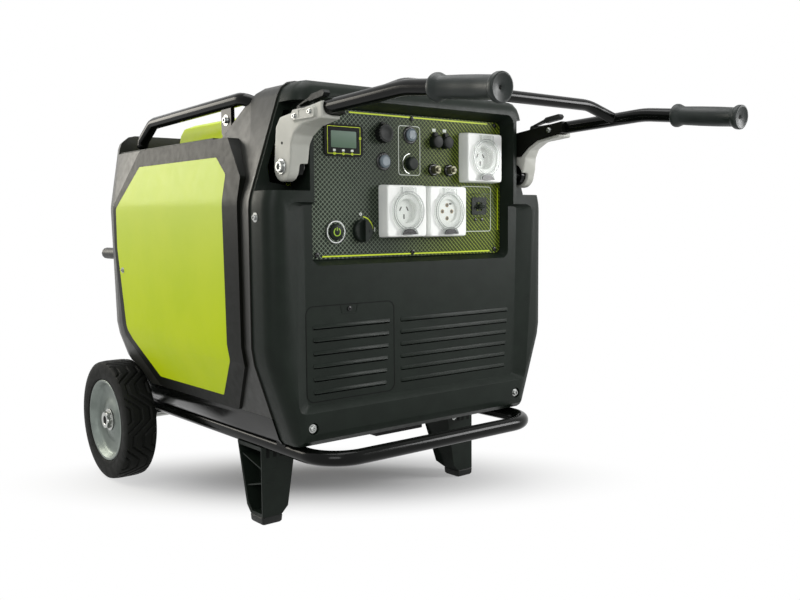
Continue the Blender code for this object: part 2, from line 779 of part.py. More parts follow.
def build_front_cover():
    cover = body_solid(COVER_FRONT_Y, SEAM_Y, front_round=COVER_ROUND)
    deep = COVER_FACE_Y - COVER_FRONT_Y
    past = COVER_FRONT_Y - CUT
    grow = (deep + CUT) / deep
    face_low, face_high = DOOR_BOTTOM_Z - 0.006, POCKET_FLOOR_Z - 0.024
    low_half, high_half = BODY_HALF_WIDTH - 0.080, BODY_HALF_WIDTH - 0.069
    inner = [(-low_half, face_low), (low_half, face_low), (high_half, face_high), (-high_half, face_high)]
    rim_low, rim_high = face_low - 0.011, face_high + 0.004
    low_half, high_half = BODY_HALF_WIDTH - 0.056, BODY_HALF_WIDTH - 0.037
    outer = [(-low_half, rim_low), (low_half, rim_low), (high_half, rim_high), (-high_half, rim_high)]
    mouth = []
    for near, far in zip(inner, outer):
        mouth.append((near[0] + (far[0] - near[0]) * grow, near[1] + (far[1] - near[1]) * grow))
    recess = loft(
        [
            [(x, COVER_FACE_Y, z) for x, z in rounded(inner, 0.012, 2)],
            [(x, past, z) for x, z in rounded(mouth, 0.016, 2)],
        ]
    )
    seat = PANEL_SEAT_Y
    half = PANEL_HALF_WIDTH + GAP
    low, high = PANEL_BOTTOM_Z - GAP, PANEL_TOP_Z + GAP
    panel_well = loft(
        [
            rect_ring((-half, half), (low, high), seat, 0.012),
            rect_ring((-half - 0.008, half + 0.008), (low - 0.017, high + 0.014), past, 0.018),
        ]
    )
    window_half = PANEL_HALF_WIDTH - PANEL_RIM
    window_z = (PANEL_BOTTOM_Z + 0.021, PANEL_TOP_Z - 0.014)
    panel_window = box((-window_half, window_half), (seat - CUT, seat + WALL + CUT), window_z)
    pockets = []
    windows = []
    screws = []
    for side in (-1, 1):
        pockets.append(
            (
                (side * HEAD_HALF_WIDTH, side * 0.5),
                (COVER_FRONT_Y - 0.1, POCKET_BACK_Y),
                (POCKET_FLOOR_Z, POCKET_ROOF_Z),
            )
        )
        window = [
            (HEAD_HALF_WIDTH + 0.002, POCKET_FLOOR_Z + 0.009),
            (PIVOT_WINDOW_X, POCKET_FLOOR_Z + 0.016),
            (PIVOT_WINDOW_X + 0.004, PIVOT_Z + 0.002),
            (outline_half_width(POCKET_ROOF_Z - 0.062) - 0.014, POCKET_ROOF_Z - 0.062),
            (outline_half_width(POCKET_ROOF_Z - 0.012) - 0.014, POCKET_ROOF_Z - 0.012),
            (HEAD_HALF_WIDTH + 0.002, POCKET_ROOF_Z - 0.012),
        ]
        placed = [(side * x, z) for x, z in window]
        windows.append(prism(placed, "Y", POCKET_BACK_Y - CUT, SEAM_Y + CUT))
        screw_at = (side * (BODY_HALF_WIDTH - 0.0856), BODY_BOTTOM + 0.036)
        screws.append(rod("Y", screw_at, 0.011, -0.1, COVER_FACE_Y + 0.004, 12))
    door_x = (DOOR_LEFT_X - GAP, DOOR_RIGHT_X + GAP)
    door_z = (DOOR_BOTTOM_Z - GAP, DOOR_TOP_Z + GAP)
    door_back = COVER_FACE_Y + DOOR_THICK + GAP
    door_seat = loft([rect_ring(door_x, door_z, y, 0.015) for y in (past, door_back)])
    ledge = 0.010
    opening = box(
        (door_x[0] + ledge, door_x[1] - ledge),
        (door_back - CUT, door_back + 3 * CUT),
        (door_z[0] + ledge, door_z[1] - ledge),
    )
    grille_x = (DOOR_RIGHT_X + 0.017, BODY_HALF_WIDTH - 0.110)
    grille = boxes(louvre_spans(*grille_x, COVER_FACE_Y - CUT, COVER_FACE_Y + 3 * CUT))
    return cut(
        cover,
        *cover_cavities(),
        recess,
        panel_well,
        panel_window,
        boxes(pockets),
        *windows,
        door_seat,
        opening,
        grille,
        *screws,
    )


def build_service_door():
    x, z = (DOOR_LEFT_X, DOOR_RIGHT_X), (DOOR_BOTTOM_Z, DOOR_TOP_Z)
    door = loft([rect_ring(x, z, COVER_FACE_Y + depth, 0.015) for depth in (0.0, DOOR_THICK)])
    spans = louvre_spans(x[0] + 0.016, x[1] - 0.021, COVER_FACE_Y - CUT, COVER_FACE_Y + 2 * CUT)
    return cut(door, boxes(spans))


def hump_profile(drop):
    fall = BODY_TOP - DECK_TOP
    run = DECK_FRONT_Y - HUMP_REAR_Y
    shift = drop * hypot(fall, run) / fall
    above = 0.020
    return [
        (SEAM_Y - 10 * drop + GAP, SILL_Z + GAP - 2 * drop),
        (SEAM_Y - 10 * drop + GAP, BODY_TOP + above),
        (HUMP_REAR_Y - shift - above * run / fall, BODY_TOP + above),
        (DECK_FRONT_Y - shift + 2 * drop * run / fall, DECK_TOP - 2 * drop),
        (DECK_FRONT_Y + 2 * drop, SILL_Z + GAP - 2 * drop),
    ]


def rail_path(side):
    bend = 0.040
    x = side * RAIL_X
    path = [
        (x, RAIL_FOOT_Y, DECK_TOP + GAP),
        (x, RAIL_FOOT_Y, DECK_TOP + 0.022),
        (x, RAIL_REAR_Y, RAIL_REAR_Z),
        (x, RAIL_FRONT_Y, RAIL_FRONT_Z),
        (x - side * 0.045, HUMP_REAR_Y - 0.015, RAIL_FRONT_Z - 0.032),
    ]
    return rounded(path, [0, 0.018, bend, bend, 0], 4, closed=False)


def build_front_hoop():
    hoop = beaded_solid(DECK_FRONT_Y + 0.02)
    hoop = keep(hoop, prism(hump_profile(0.0), "X", -1, 1))
    inner = body_solid(SEAM_Y - CUT, DECK_FRONT_Y + 0.04, -WALL)
    inner = keep(inner, prism(hump_profile(WALL), "X", -1, 1))
    rails = [pipe(rail_path(side), RAIL_RADIUS + GAP, (0, 0, 1), 10) for side in (-1, 1)]
    return cut(hoop, inner, *frame_cutters(), *rails)


def build_side_frame(side):
    frame = body_solid(0.0, BODY_REAR_Y, FRAME_PROUD, SIDE_LEAN)
    frame = keep(frame, side_slab(frame_outline(), side))
    seat = side_slab(panel_outline(GAP), side)
    seat = cut(seat, body_solid(-0.1, 0.9, FRAME_PROUD - SIDE_PANEL_THICK - GAP, SIDE_LEAN))
    return cut(frame, body_solid(-0.1, 0.9, -WALL), seat)


def build_side_panel(side):
    panel = body_solid(0.0, BODY_REAR_Y, FRAME_PROUD, SIDE_LEAN)
    panel = keep(panel, side_slab(panel_outline(), side))
    return cut(panel, body_solid(-0.1, 0.9, FRAME_PROUD - SIDE_PANEL_THICK, SIDE_LEAN))


def rear_vents():
    spans = []
    for k in range(5):
        z = LOWER_CREASE_Z - 0.025 + 0.026 * k
        half = BODY_HALF_WIDTH - 0.166
        spans.append(((-half, half), (BODY_REAR_Y - 0.05, BODY_REAR_Y + 0.02), (z, z + 0.008)))
    return boxes(spans)


def build_rear_cover():
    front = frame_corners()[2][0] + GAP
    inner = rear_solid(front - CUT, -WALL, REAR_ROUND - FRAME_PROUD - WALL)
    shelf = box((-1, 1), (REAR_HUMP_Y - 3 * WALL, REAR_HUMP_Y + WALL), (DECK_Z - GAP - WALL, 1))
    inner = cut(inner, shelf, *wheel_arches(WALL))
    return cut(
        rear_solid(front, FRAME_PROUD, REAR_ROUND),
        box((-1, 1), (-1, 2), (0, SILL_Z + GAP)),
        box((-1, 1), (0, REAR_HUMP_Y), (DECK_Z - GAP, 1)),
        inner,
        *frame_cutters(),
        *wheel_arches(),
        rear_vents(),
        hole("Y", (EXHAUST_X, EXHAUST_Z), EXHAUST_RADIUS + 0.0006, BODY_REAR_Y - 0.085, BODY_REAR_Y + 0.1),
    )


def build_top_deck():
    half = outline_half_width(DECK_Z, SIDE_LEAN) - 0.001
    deck = box((-half, half), (DECK_FRONT_Y + GAP, REAR_HUMP_Y - GAP), (DECK_Z, DECK_TOP))
    hole_half = TANK_HALF_WIDTH - TANK_LEDGE + GAP
    hole_y = (TANK_FRONT_Y + TANK_LEDGE - GAP, TANK_REAR_Y - TANK_LEDGE + GAP)
    return cut(deck, box((-hole_half, hole_half), hole_y, (DECK_Z - CUT, DECK_TOP + CUT)))


def build_fuel_tank():
    ledge = DECK_TOP + GAP
    levels = (
        (TANK_BOTTOM_Z, TANK_LEDGE + 0.010),
        (TANK_BOTTOM_Z + 0.012, TANK_LEDGE),
        (ledge, TANK_LEDGE),
        (ledge, 0.0),
        (TANK_TOP_Z - 0.022, 0.004),
        (TANK_TOP_Z - 0.007, 0.010),
        (TANK_TOP_Z, 0.026),
    )
    rings = []
    for z, inset in levels:
        half = TANK_HALF_WIDTH - inset
        outline = rounded(rectangle((-half, half), (TANK_FRONT_Y + inset, TANK_REAR_Y - inset)), 0.030)
        rings.append([lift(point, "Z", z) for point in outline])
    tank = loft(rings)
    return join(tank, rod("Z", (0, CAP_Y), CAP_RADIUS - 0.008, TANK_TOP_Z - 0.005, TANK_TOP_Z + 0.006, 20))


def build_fuel_cap():
    low = TANK_TOP_Z + 0.006 + GAP
    profile = [
        (0, low),
        (CAP_RADIUS, low),
        (CAP_RADIUS, low + 0.013),
        (CAP_RADIUS - 0.004, low + 0.017),
        (0, low + 0.017),
    ]

    def ridge(segment, point, radius):
        return radius - 0.0022 if segment % 2 and point in (1, 2) else radius

    return lathe(profile, "Z", (0, CAP_Y), 24, ridge)


def build_top_rail(side):
    rail = pipe(rail_path(side), RAIL_RADIUS, (0, 0, 1), 10)
    ear = [
        (RAIL_EAR_Y + 0.019, RAIL_FRONT_Z - 0.004),
        (RAIL_EAR_Y - 0.019, RAIL_FRONT_Z - 0.004),
        (RAIL_EAR_Y - 0.019, DECK_TOP + 0.022),
        (RAIL_EAR_Y - 0.013, DECK_TOP + 0.008),
        (RAIL_EAR_Y - 0.006, DECK_TOP + GAP),
        (RAIL_EAR_Y + 0.009, DECK_TOP + GAP),
        (RAIL_EAR_Y + 0.019, DECK_TOP + 0.012),
    ]
    return join(rail, prism(ear, "X", side * (RAIL_X - 0.004), side * (RAIL_X + 0.004)))


def build_exhaust_outlet():
    start = (MUFFLER_LEFT_X - GAP, MUFFLER_Y, EXHAUST_Z)
    path = [start, (EXHAUST_X, MUFFLER_Y, EXHAUST_Z), (EXHAUST_X, EXHAUST_END_Y, EXHAUST_Z)]
    outlet = pipe(rounded(path, [0, 0.030, 0], 3, closed=False), EXHAUST_RADIUS, (0, 0, 1), 12)
    span = (EXHAUST_END_Y - 0.05, EXHAUST_END_Y + CUT)
    return cut(outlet, rod("Y", (EXHAUST_X, EXHAUST_Z), EXHAUST_RADIUS - 0.002, *span, 12))


# Handle


def tube_z(y):
    return HANDLE_TUBE_Z + HANDLE_TUBE_SLOPE * (y - PIVOT_Y)


def tube_path(side):
    x = side * HANDLE_TUBE_X
    start = PIVOT_Y - 0.046
    reach = HANDLE_END_Y - HANDLE_BEND_Y
    stop = 1 - 0.013 / abs(reach)
    end = (x, HANDLE_BEND_Y + reach * stop, HANDLE_BEND_Z + (HANDLE_END_Z - HANDLE_BEND_Z) * stop)
    path = [(x, start, tube_z(start)), (x, HANDLE_BEND_Y, HANDLE_BEND_Z), end]
    return rounded(path, [0, 0.200, 0], 4, closed=False)


def build_handle_frame():
    left, right = [pipe(tube_path(side), HANDLE_TUBE_RADIUS, (1, 0, 0), 12) for side in (-1, 1)]
    x = HANDLE_TUBE_X
    weld_y = CROSS_BAR_Y - 0.012
    high = tube_z(CROSS_BAR_Y) + CROSS_BAR_RISE
    corners = [
        (-x, weld_y, tube_z(weld_y)),
        (-x + 0.066, CROSS_BAR_Y, high),
        (x - 0.066, CROSS_BAR_Y, high),
        (x, weld_y, tube_z(weld_y)),
    ]
    bar = rounded(corners, [0, 0.080, 0.080, 0], 4, closed=False)
    return join(left, right, pipe(bar, CROSS_BAR_RADIUS, (0, 1, 0), 10))


def bore(side, start, end):
    x = side * HANDLE_TUBE_X
    return pipe([(x, start, tube_z(start)), (x, end, tube_z(end))], HANDLE_TUBE_RADIUS + GAP, (1, 0, 0), 12)


def arm_outline(underside):
    radius = ARM_END_RADIUS
    front, rear = PIVOT_Y - radius, PIVOT_Y + radius
    tip = PIVOT_Y - ARM_LENGTH
    low = circle((PIVOT_Y, PIVOT_Z), radius, 10, pi, pi)
    upper = [
        (rear - 0.008, tube_z(rear) - 0.016),
        (rear - 0.022, tube_z(rear)),
        (tip, tube_z(tip) + 0.009),
        (tip, tube_z(tip) - 0.0190),
    ]
    upper += [(front - ahead, tube_z(front) - below) for ahead, below in underside]
    upper.append((front - 0.003, PIVOT_Z + 0.012))
    return low + upper


def cover_outline(offset=0.0):
    radius = ARM_END_RADIUS
    front, rear = PIVOT_Y - radius, PIVOT_Y + radius
    tip = PIVOT_Y - ARM_COVER_LENGTH
    low = tube_z(front) - 0.048
    corners = [
        (front + 0.003, low),
        (rear - 0.014, low),
        (rear - 0.014, tube_z(rear) - 0.019),
        (rear - 0.028, tube_z(rear) + 0.0022),
        (tip, tube_z(tip) + 0.0105),
        (tip, tube_z(tip) - 0.0115),
        (front - 0.040, tube_z(front) - 0.0175),
        (front - 0.014, tube_z(front) - 0.031),
        (front + 0.003, tube_z(front) - 0.046),
    ]
    return offset_outline(corners, offset)


def arm_boss(side):
    rear, front = PIVOT_Y - 0.040, PIVOT_Y - 0.106
    middle = tube_z(PIVOT_Y)
    corners = [
        (rear, middle - 0.012),
        (front, middle - 0.009),
        (front, middle + 0.007),
        (rear, middle + 0.003),
    ]
    return prism(rounded(corners, 0.006, 2), "X", side * (ARM_OUTER_X - 0.003), side * (ARM_OUTER_X + 0.003))


def build_handle_arm(side):
    inside = arm_outline(((0.044, 0.0280), (0.024, 0.041), (0.008, 0.060)))
    outside = arm_outline(((0.038, 0.0200), (0.014, 0.033), (0.005, 0.050)))
    faces = ((inside, side * ARM_INNER_X), (outside, side * ARM_OUTER_X))
    arm = loft([[lift(point, "X", x) for point in outline] for outline, x in faces])
    inner = side * (ARM_INNER_X - CUT)
    clear = side * (EAR_OUTER_X + GAP)
    rear = PIVOT_Y + ARM_END_RADIUS + CUT
    low, top = PIVOT_Z - 0.077, PIVOT_Z + EAR_RADIUS + 0.002
    bolt_span = (side * (EAR_INNER_X - CUT), side * (ARM_OUTER_X + CUT))
    arm = join(arm, arm_boss(side))
    return cut(
        arm,
        prism(circle((PIVOT_Y, PIVOT_Z), EAR_RADIUS + 0.002, 20), "X", inner, clear),
        box((inner, clear), (PIVOT_Y, rear), (low, top)),
        box((inner, clear), (PIVOT_Y - 0.1, rear), (low, PIVOT_Z + 0.004)),
        hole("X", (PIVOT_Y, PIVOT_Z), PIVOT_RADIUS + GAP, *bolt_span, 12),
        prism(cover_outline(GAP), "X", inner, side * HANDLE_TUBE_X),
        bore(side, PIVOT_Y - 0.046 + GAP, -0.3),
        lever_groove(side),
    )


def build_arm_cover(side):
    cover = prism(cover_outline(), "X", side * (ARM_INNER_X - 0.002), side * (HANDLE_TUBE_X - GAP))
    return cut(cover, bore(side, PIVOT_Y - 0.046 + GAP, -0.3), lever_groove(side))


def build_grip(side):
    start = Vector((side * HANDLE_TUBE_X, HANDLE_END_Y, HANDLE_END_Z))
    along = (Vector((side * HANDLE_TUBE_X, HANDLE_BEND_Y, HANDLE_BEND_Z)) - start).normalized()
    segments = 12
    inside = (HANDLE_TUBE_RADIUS + GAP) / cos(pi / segments)
    length = GRIP_LENGTH
    profile = [
        (0, 0.0035),
        (0.004, 0.0030),
        (GRIP_FLANGE_RADIUS - 0.002, 0.0),
        (GRIP_FLANGE_RADIUS, 0.002),
        (GRIP_FLANGE_RADIUS, 0.009),
        (GRIP_RADIUS - 0.0008, 0.014),
        (GRIP_RADIUS, length * 0.45),
        (GRIP_RADIUS - 0.0008, length - 0.018),
        (GRIP_FLANGE_RADIUS - 0.001, length - 0.010),
        (GRIP_FLANGE_RADIUS, length - 0.006),
        (GRIP_FLANGE_RADIUS - 0.001, length),
        (inside, length),
        (inside, 0.0125),
        (0, 0.0125),
    ]
    grip = lathe(profile, "Z", (0, 0), segments)
    turn = along.to_track_quat("Z", "X").to_matrix().to_4x4()
    grip.data.transform(Matrix.Translation(start) @ turn)
    return grip


def lever_axis():
    return (LEVER_Y, tube_z(LEVER_Y) + LEVER_RISE)


def lever_groove(side):
    reach = LEVER_HALF_WIDTH + GAP
    span = (side * (HANDLE_TUBE_X - reach), side * (HANDLE_TUBE_X + reach))
    return hole("X", lever_axis(), 0.006 + GAP, *span, 12)


def build_lock_lever(side):
    y, z = lever_axis()
    span = (side * (HANDLE_TUBE_X - LEVER_HALF_WIDTH), side * (HANDLE_TUBE_X + LEVER_HALF_WIDTH))
    outline = [
        (y + 0.003, z - 0.001),
        (y - 0.002, z + 0.0047),
        (y - 0.030, z + 0.0100),
        (y - 0.034, z + 0.0085),
        (y - 0.072, z + 0.0130),
        (y - 0.076, z + 0.0185),
        (y - 0.072, z + 0.0235),
        (y - 0.038, z + 0.0195),
        (y - 0.032, z + 0.0155),
        (y + 0.003, z + 0.0048),
    ]
    return join(prism(outline, "X", *span), rod("X", (y, z), 0.006, *span, 12))


def build_pivot_bolt(side):
    profile = [
        (0, EAR_INNER_X - GAP - 0.0090),
        (0.0085, EAR_INNER_X - GAP - 0.0090),
        (0.0085, EAR_INNER_X - GAP),
        (PIVOT_RADIUS, EAR_INNER_X - GAP),
        (PIVOT_RADIUS, ARM_OUTER_X + GAP),
        (0.0120, ARM_OUTER_X + GAP),
        (0.0120, ARM_OUTER_X + GAP + 0.0018),
        (0.0085, ARM_OUTER_X + GAP + 0.0018),
        (0.0085, ARM_OUTER_X + GAP + 0.0070),
        (0, ARM_OUTER_X + GAP + 0.0070),
    ]
    return lathe([(radius, side * x) for radius, x in profile], "X", (PIVOT_Y, PIVOT_Z), 10)


# Control panel


def build_control_panel():
    outline = rounded(rectangle((-PANEL_HALF_WIDTH, PANEL_HALF_WIDTH), (PANEL_BOTTOM_Z, PANEL_TOP_Z)), 0.012)
    panel = prism(outline, "Y", 0.0, PANEL_THICK)
    bezel = rod("Y", START_AT, START_RADIUS + 0.006, -0.005, 0.001, 20)
    panel = join(panel, bezel)
    low, high = -0.010, PANEL_THICK + CUT
    holes = [
        hole("Y", START_AT, START_RADIUS + 0.0005, low, high, 20),
        hole("Y", KNOB_AT, STEM_RADIUS + GAP, low, high, 10),
        hole("Y", REMOTE_CAP_AT, STEM_RADIUS + GAP, low, high, 10),
        hole("Y", ECO_AT, STEM_RADIUS + 0.0007, low, high, 10),
        hole("Y", REMOTE_AT, STEM_RADIUS + 0.0007, low, high, 10),
    ]
    holes += [hole("Y", at, 0.012 + GAP, low, high, 12) for at in JACKS_AT]
    holes += [hole("Y", at, 0.011 + GAP, low, high, 12) for at in TERMINALS_AT]
    spans = []
    for at, half_x, half_z in (
        (DISPLAY_AT, DISPLAY_SIZE[0] / 2 - 0.006, DISPLAY_SIZE[1] / 2 - 0.006),
        (BREAKER_AT, 0.0078, 0.0066),
    ):
        spans.append(((at[0] - half_x, at[0] + half_x), (low, high), (at[1] - half_z, at[1] + half_z)))
    for left, bottom in SOCKETS_AT.values():
        middle = SOCKET_SIZE / 2
        reach = 0.030 + GAP
        x, z = left + middle, bottom + middle
        spans.append(((x - reach, x + reach), (low, high), (z - reach, z + reach)))
    return cut(panel, *holes, boxes(spans))


def build_display():
    half_x, half_z = DISPLAY_SIZE[0] / 2, DISPLAY_SIZE[1] / 2
    x, z = DISPLAY_AT
    face = rounded(rectangle((x - half_x, x + half_x), (z - half_z, z + half_z)), 0.008)
    display = prism(face, "Y", -0.0030, -GAP)
    inset = 0.006 + GAP
    inner_x, inner_z = half_x - inset, half_z - inset
    body = box((x - inner_x, x + inner_x), (-0.001, 0.014), (z - inner_z, z + inner_z))
    return join(display, body)


def build_start_button():
    profile = [
        (0, -0.0085),
        (START_RADIUS - 0.003, -0.0085),
        (START_RADIUS, -0.0070),
        (START_RADIUS, 0.012),
        (0, 0.012),
    ]
    return lathe(profile, "Y", START_AT, 20)


def build_knob(at, radius, depth):
    profile = [
        (0, -depth),
        (radius - 0.002, -depth),
        (radius, -depth + 0.002),
        (radius + 0.001, -GAP),
        (STEM_RADIUS, -GAP),
        (STEM_RADIUS, PANEL_THICK + 0.004),
        (0, PANEL_THICK + 0.004),
    ]
    return lathe(profile, "Y", at, 16)


def build_switch_knob():
    knob = build_knob(KNOB_AT, KNOB_RADIUS, 0.010)
    x, z = KNOB_AT
    wing = box((x - 0.004, x + 0.004), (-0.018, -0.008), (z - KNOB_RADIUS + 0.001, z + KNOB_RADIUS - 0.001))
    return join(knob, wing)


def build_rocker(at):
    radius = ROCKER_RADIUS
    profile = [
        (0, -0.0085),
        (radius - 0.004, -0.0085),
        (radius, -0.0060),
        (radius, -0.0022),
        (STEM_RADIUS, -0.0022),
        (STEM_RADIUS, PANEL_THICK + 0.003),
        (0, PANEL_THICK + 0.003),
    ]
    return lathe(profile, "Y", at, 16)


def build_dc_cap():
    x, z = DC_CAP_AT
    lid = rod("Y", DC_CAP_AT, DC_CAP_RADIUS, -0.0150, -GAP, 20)
    tab = box((x - 0.005, x + 0.005), (-0.006, -0.0015), (z, z + DC_CAP_RADIUS + 0.005))
    return join(lid, tab)


def build_parallel_jacks():
    (left, z), (right, _) = JACKS_AT
    back = PANEL_THICK + GAP
    block = box((left - 0.016, right + 0.016), (back, back + 0.010), (z - 0.014, z + 0.014))
    plugs = [rod("Y", at, 0.012, -0.012, back + 0.002, 12) for at in JACKS_AT]
    wells = [rod("Y", at, 0.0075, -0.012 - CUT, -0.004, 10) for at in JACKS_AT]
    return cut(join(block, *plugs), *wells)


def build_output_terminals():
    (left, z), (right, _) = TERMINALS_AT
    back = PANEL_THICK + GAP
    block = box((left - 0.014, right + 0.014), (back, back + 0.008), (z - 0.013, z + 0.013))
    posts = []
    for at in TERMINALS_AT:
        posts.append(rod("Y", at, 0.011, -0.005, back + 0.002, 12))
        posts.append(rod("Y", at, 0.008, -0.017, -0.004, 12))
    return join(block, *posts)


def build_breaker():
    x, z = BREAKER_AT
    axis_y = PANEL_THICK / 2
    barrel = rod("X", (axis_y, z), 0.006, x - 0.0074, x + 0.0074, 14)
    half = [(axis_y, -0.0035), (-0.013, -0.0028)]
    tongue = [(y, z + rise) for y, rise in half]
    tongue += [(-0.0145, z)] + [(y, z - rise) for y, rise in half[::-1]]
    return join(barrel, prism(tongue, "X", x - 0.0060, x + 0.0060))


def socket_centre(name):
    left, bottom = SOCKETS_AT[name]
    return left + SOCKET_SIZE / 2, bottom + SOCKET_SIZE / 2


def build_socket(name):
    x, z = socket_centre(name)
    half = SOCKET_SIZE / 2 - GAP
    rings = []
    for y, inset in ((-GAP, 0.0), (-SOCKET_DEPTH + 0.004, 0.0015), (-SOCKET_DEPTH, 0.0045)):
        reach = half - inset
        rings.append(rect_ring((x - reach, x + reach), (z - reach, z + reach), y, 0.010))
    housing = loft(rings)
    housing = join(housing, box((x - 0.030, x + 0.030), (-0.002, 0.022), (z - 0.030, z + 0.030)))
    return cut(housing, rod("Y", (x, z), SOCKET_WELL_RADIUS, -SOCKET_DEPTH - CUT, -0.008, 24))


def flap_hinge(name):
    x, z = socket_centre(name)
    return x, -SOCKET_DEPTH - GAP, z + SOCKET_SIZE / 2 - 0.005


def build_flap(name):
    x, z = socket_centre(name)
    back = -SOCKET_DEPTH - GAP
    top = flap_hinge(name)[2]
    bottom = z - SOCKET_SIZE / 2 + 0.006
    disc = rod("Y", (x, z), FLAP_RADIUS, back - FLAP_THICK, back, 28)
    tabs = [
        box((x - 0.018, x + 0.018), (back - FLAP_THICK, back), (z, top)),
        box((x - 0.014, x + 0.014), (back - FLAP_THICK, back), (bottom, z)),
    ]
    return join(disc, *tabs)


# Inside the body


def build_engine_block():
    half = ENGINE_HALF_WIDTH
    low = TRAY_FLOOR + 0.030
    outline = rounded(rectangle((-half, half), (low, ENGINE_TOP_Z)), 0.030, 2)
    block = prism(outline, "Y", ENGINE_FRONT_Y, ENGINE_REAR_Y)
    feet = []
    for x in (-half + 0.030, half - 0.030):
        for y in (ENGINE_FRONT_Y + 0.030, ENGINE_REAR_Y - 0.030):
            feet.append(((x - 0.020, x + 0.020), (y - 0.020, y + 0.020), (TRAY_FLOOR + GAP, low + 0.010)))
    fins = []
    for k in range(3):
        x = half + 0.016 + 0.026 * k
        fins.append(((x, x + 0.006), (ENGINE_FRONT_Y + 0.02, ENGINE_REAR_Y - 0.02), (0.285, 0.415)))
    barrel = rod("X", ((ENGINE_FRONT_Y + ENGINE_REAR_Y) / 2, 0.350), 0.050, half - 0.02, half + 0.095, 12)
    block = join(block, boxes(feet), barrel)
    block = join(block, boxes(fins))
    shaft_hole = hole("Y", (0, CRANK_Z), 0.012 + GAP, ENGINE_FRONT_Y - CUT, ENGINE_FRONT_Y + 0.040 + GAP, 14)
    return cut(block, shaft_hole)


def build_stator():
    inner = ROTOR_RADIUS + 0.004
    rear = ENGINE_FRONT_Y - GAP
    front = rear - ROTOR_LENGTH - 0.022
    profile = [(STATOR_RADIUS, front), (STATOR_RADIUS, rear), (inner, rear), (inner, front)]
    return lathe(profile, "Y", (0, CRANK_Z), 20)


def build_rotor():
    rear = ENGINE_FRONT_Y - 0.006
    front = rear - ROTOR_LENGTH
    profile = [
        (0, front - 0.020),
        (0.020, front - 0.020),
        (0.020, front),
        (ROTOR_RADIUS, front),
        (ROTOR_RADIUS, rear),
        (0.012, rear),
        (0.012, ENGINE_FRONT_Y + 0.040),
        (0, ENGINE_FRONT_Y + 0.040),
    ]
    rotor = lathe(profile, "Y", (0, CRANK_Z), 16)
    blades = []
    reach = ROTOR_RADIUS - 0.008
    for k in range(3):
        turn = Matrix.Rotation(pi * k / 3, 4, "Y")
        blade = box((-reach, reach), (front - 0.012, front + 0.004), (-0.002, 0.002))
        blade.data.transform(Matrix.Translation((0, 0, CRANK_Z)) @ turn)
        blades.append(blade)
    return join(rotor, *blades)


def build_muffler():
    radius = MUFFLER_RADIUS
    profile = [
        (0, MUFFLER_LEFT_X),
        (radius - 0.012, MUFFLER_LEFT_X),
        (radius, MUFFLER_LEFT_X + 0.012),
        (radius, MUFFLER_RIGHT_X - 0.012),
        (radius - 0.012, MUFFLER_RIGHT_X),
        (0, MUFFLER_RIGHT_X),
    ]
    muffler = lathe(profile, "X", (MUFFLER_Y, EXHAUST_Z), 14)
    stands = []
    for x in (MUFFLER_LEFT_X + 0.040, MUFFLER_RIGHT_X - 0.040):
        y = (MUFFLER_Y - 0.034, MUFFLER_Y + 0.002)
        stands.append(((x - 0.010, x + 0.010), y, (TRAY_FLOOR + GAP, EXHAUST_Z)))
    return join(muffler, boxes(stands))


def build_inverter():
    x = (0.070, UPRIGHT_INNER_X - 0.006)
    low = TRAY_FLOOR + GAP
    high = low + 0.180
    module = box(x, (UPRIGHT_FRONT_Y + 0.009, UPRIGHT_FRONT_Y + 0.055), (low, high))
    count = 7
    pitch = (x[1] - x[0] - 0.004) / (count - 1)
    y = (UPRIGHT_FRONT_Y + 0.050, UPRIGHT_FRONT_Y + 0.085)
    fins = []
    for k in range(count):
        left = x[0] + k * pitch
        fins.append(((left, left + 0.004), y, (low + 0.002, high - 0.002)))
    return join(module, boxes(fins))


def build_battery():
    right = 0.156 - UPRIGHT_INNER_X
    low = TRAY_FLOOR + GAP
    y = (UPRIGHT_FRONT_Y + 0.006, UPRIGHT_FRONT_Y + 0.086)
    battery = box((right - 0.145, right), y, (low, low + 0.140))
    posts = []
    for x in (right - 0.125, right - 0.020):
        posts.append(((x - 0.007, x + 0.007), (y[0] + 0.012, y[0] + 0.026), (low + 0.136, low + 0.152)))
    return join(battery, boxes(posts))


def build_air_filter():
    low = ENGINE_TOP_Z + GAP
    y = (ENGINE_FRONT_Y + 0.010, ENGINE_REAR_Y - 0.010)
    half = ENGINE_HALF_WIDTH - 0.030
    return prism(rounded(rectangle((-half, half), (low, low + 0.110)), 0.014, 2), "Y", *y)


# Assembly


def build_materials():
    return {
        "black_plastic": make_material("black_plastic", (0.020, 0.023, 0.022), 0.45),
        "hoop_plastic": make_material("hoop_plastic", (0.030, 0.030, 0.028), 0.40),
        "lime_panel": make_material("lime_panel", (0.480, 0.630, 0.020), 0.35),
        "black_steel": make_material("black_steel", (0.018, 0.019, 0.019), 0.35, 0.4),
        "rubber": make_material("rubber", (0.025, 0.026, 0.028), 0.80),
        "rim_steel": make_material("rim_steel", (0.520, 0.530, 0.530), 0.35, 0.8),
        "cast_grey": make_material("cast_grey", (0.520, 0.530, 0.510), 0.45, 0.3),
        "zinc": make_material("zinc", (0.600, 0.600, 0.580), 0.30, 0.9),
        "brass": make_material("brass", (0.600, 0.420, 0.120), 0.30, 0.9),
        "panel_face": make_material("panel_face", (0.050, 0.060, 0.040), 0.40),
        "screen": make_material("screen", (0.040, 0.060, 0.030), 0.20),
        "socket_white": make_material("socket_white", (0.740, 0.760, 0.720), 0.40),
        "flap_clear": make_material("flap_clear", (0.760, 0.780, 0.740), 0.25),
        "engine_metal": make_material("engine_metal", (0.400, 0.400, 0.390), 0.50, 0.7),
        "battery_case": make_material("battery_case", (0.040, 0.045, 0.060), 0.50),
    }


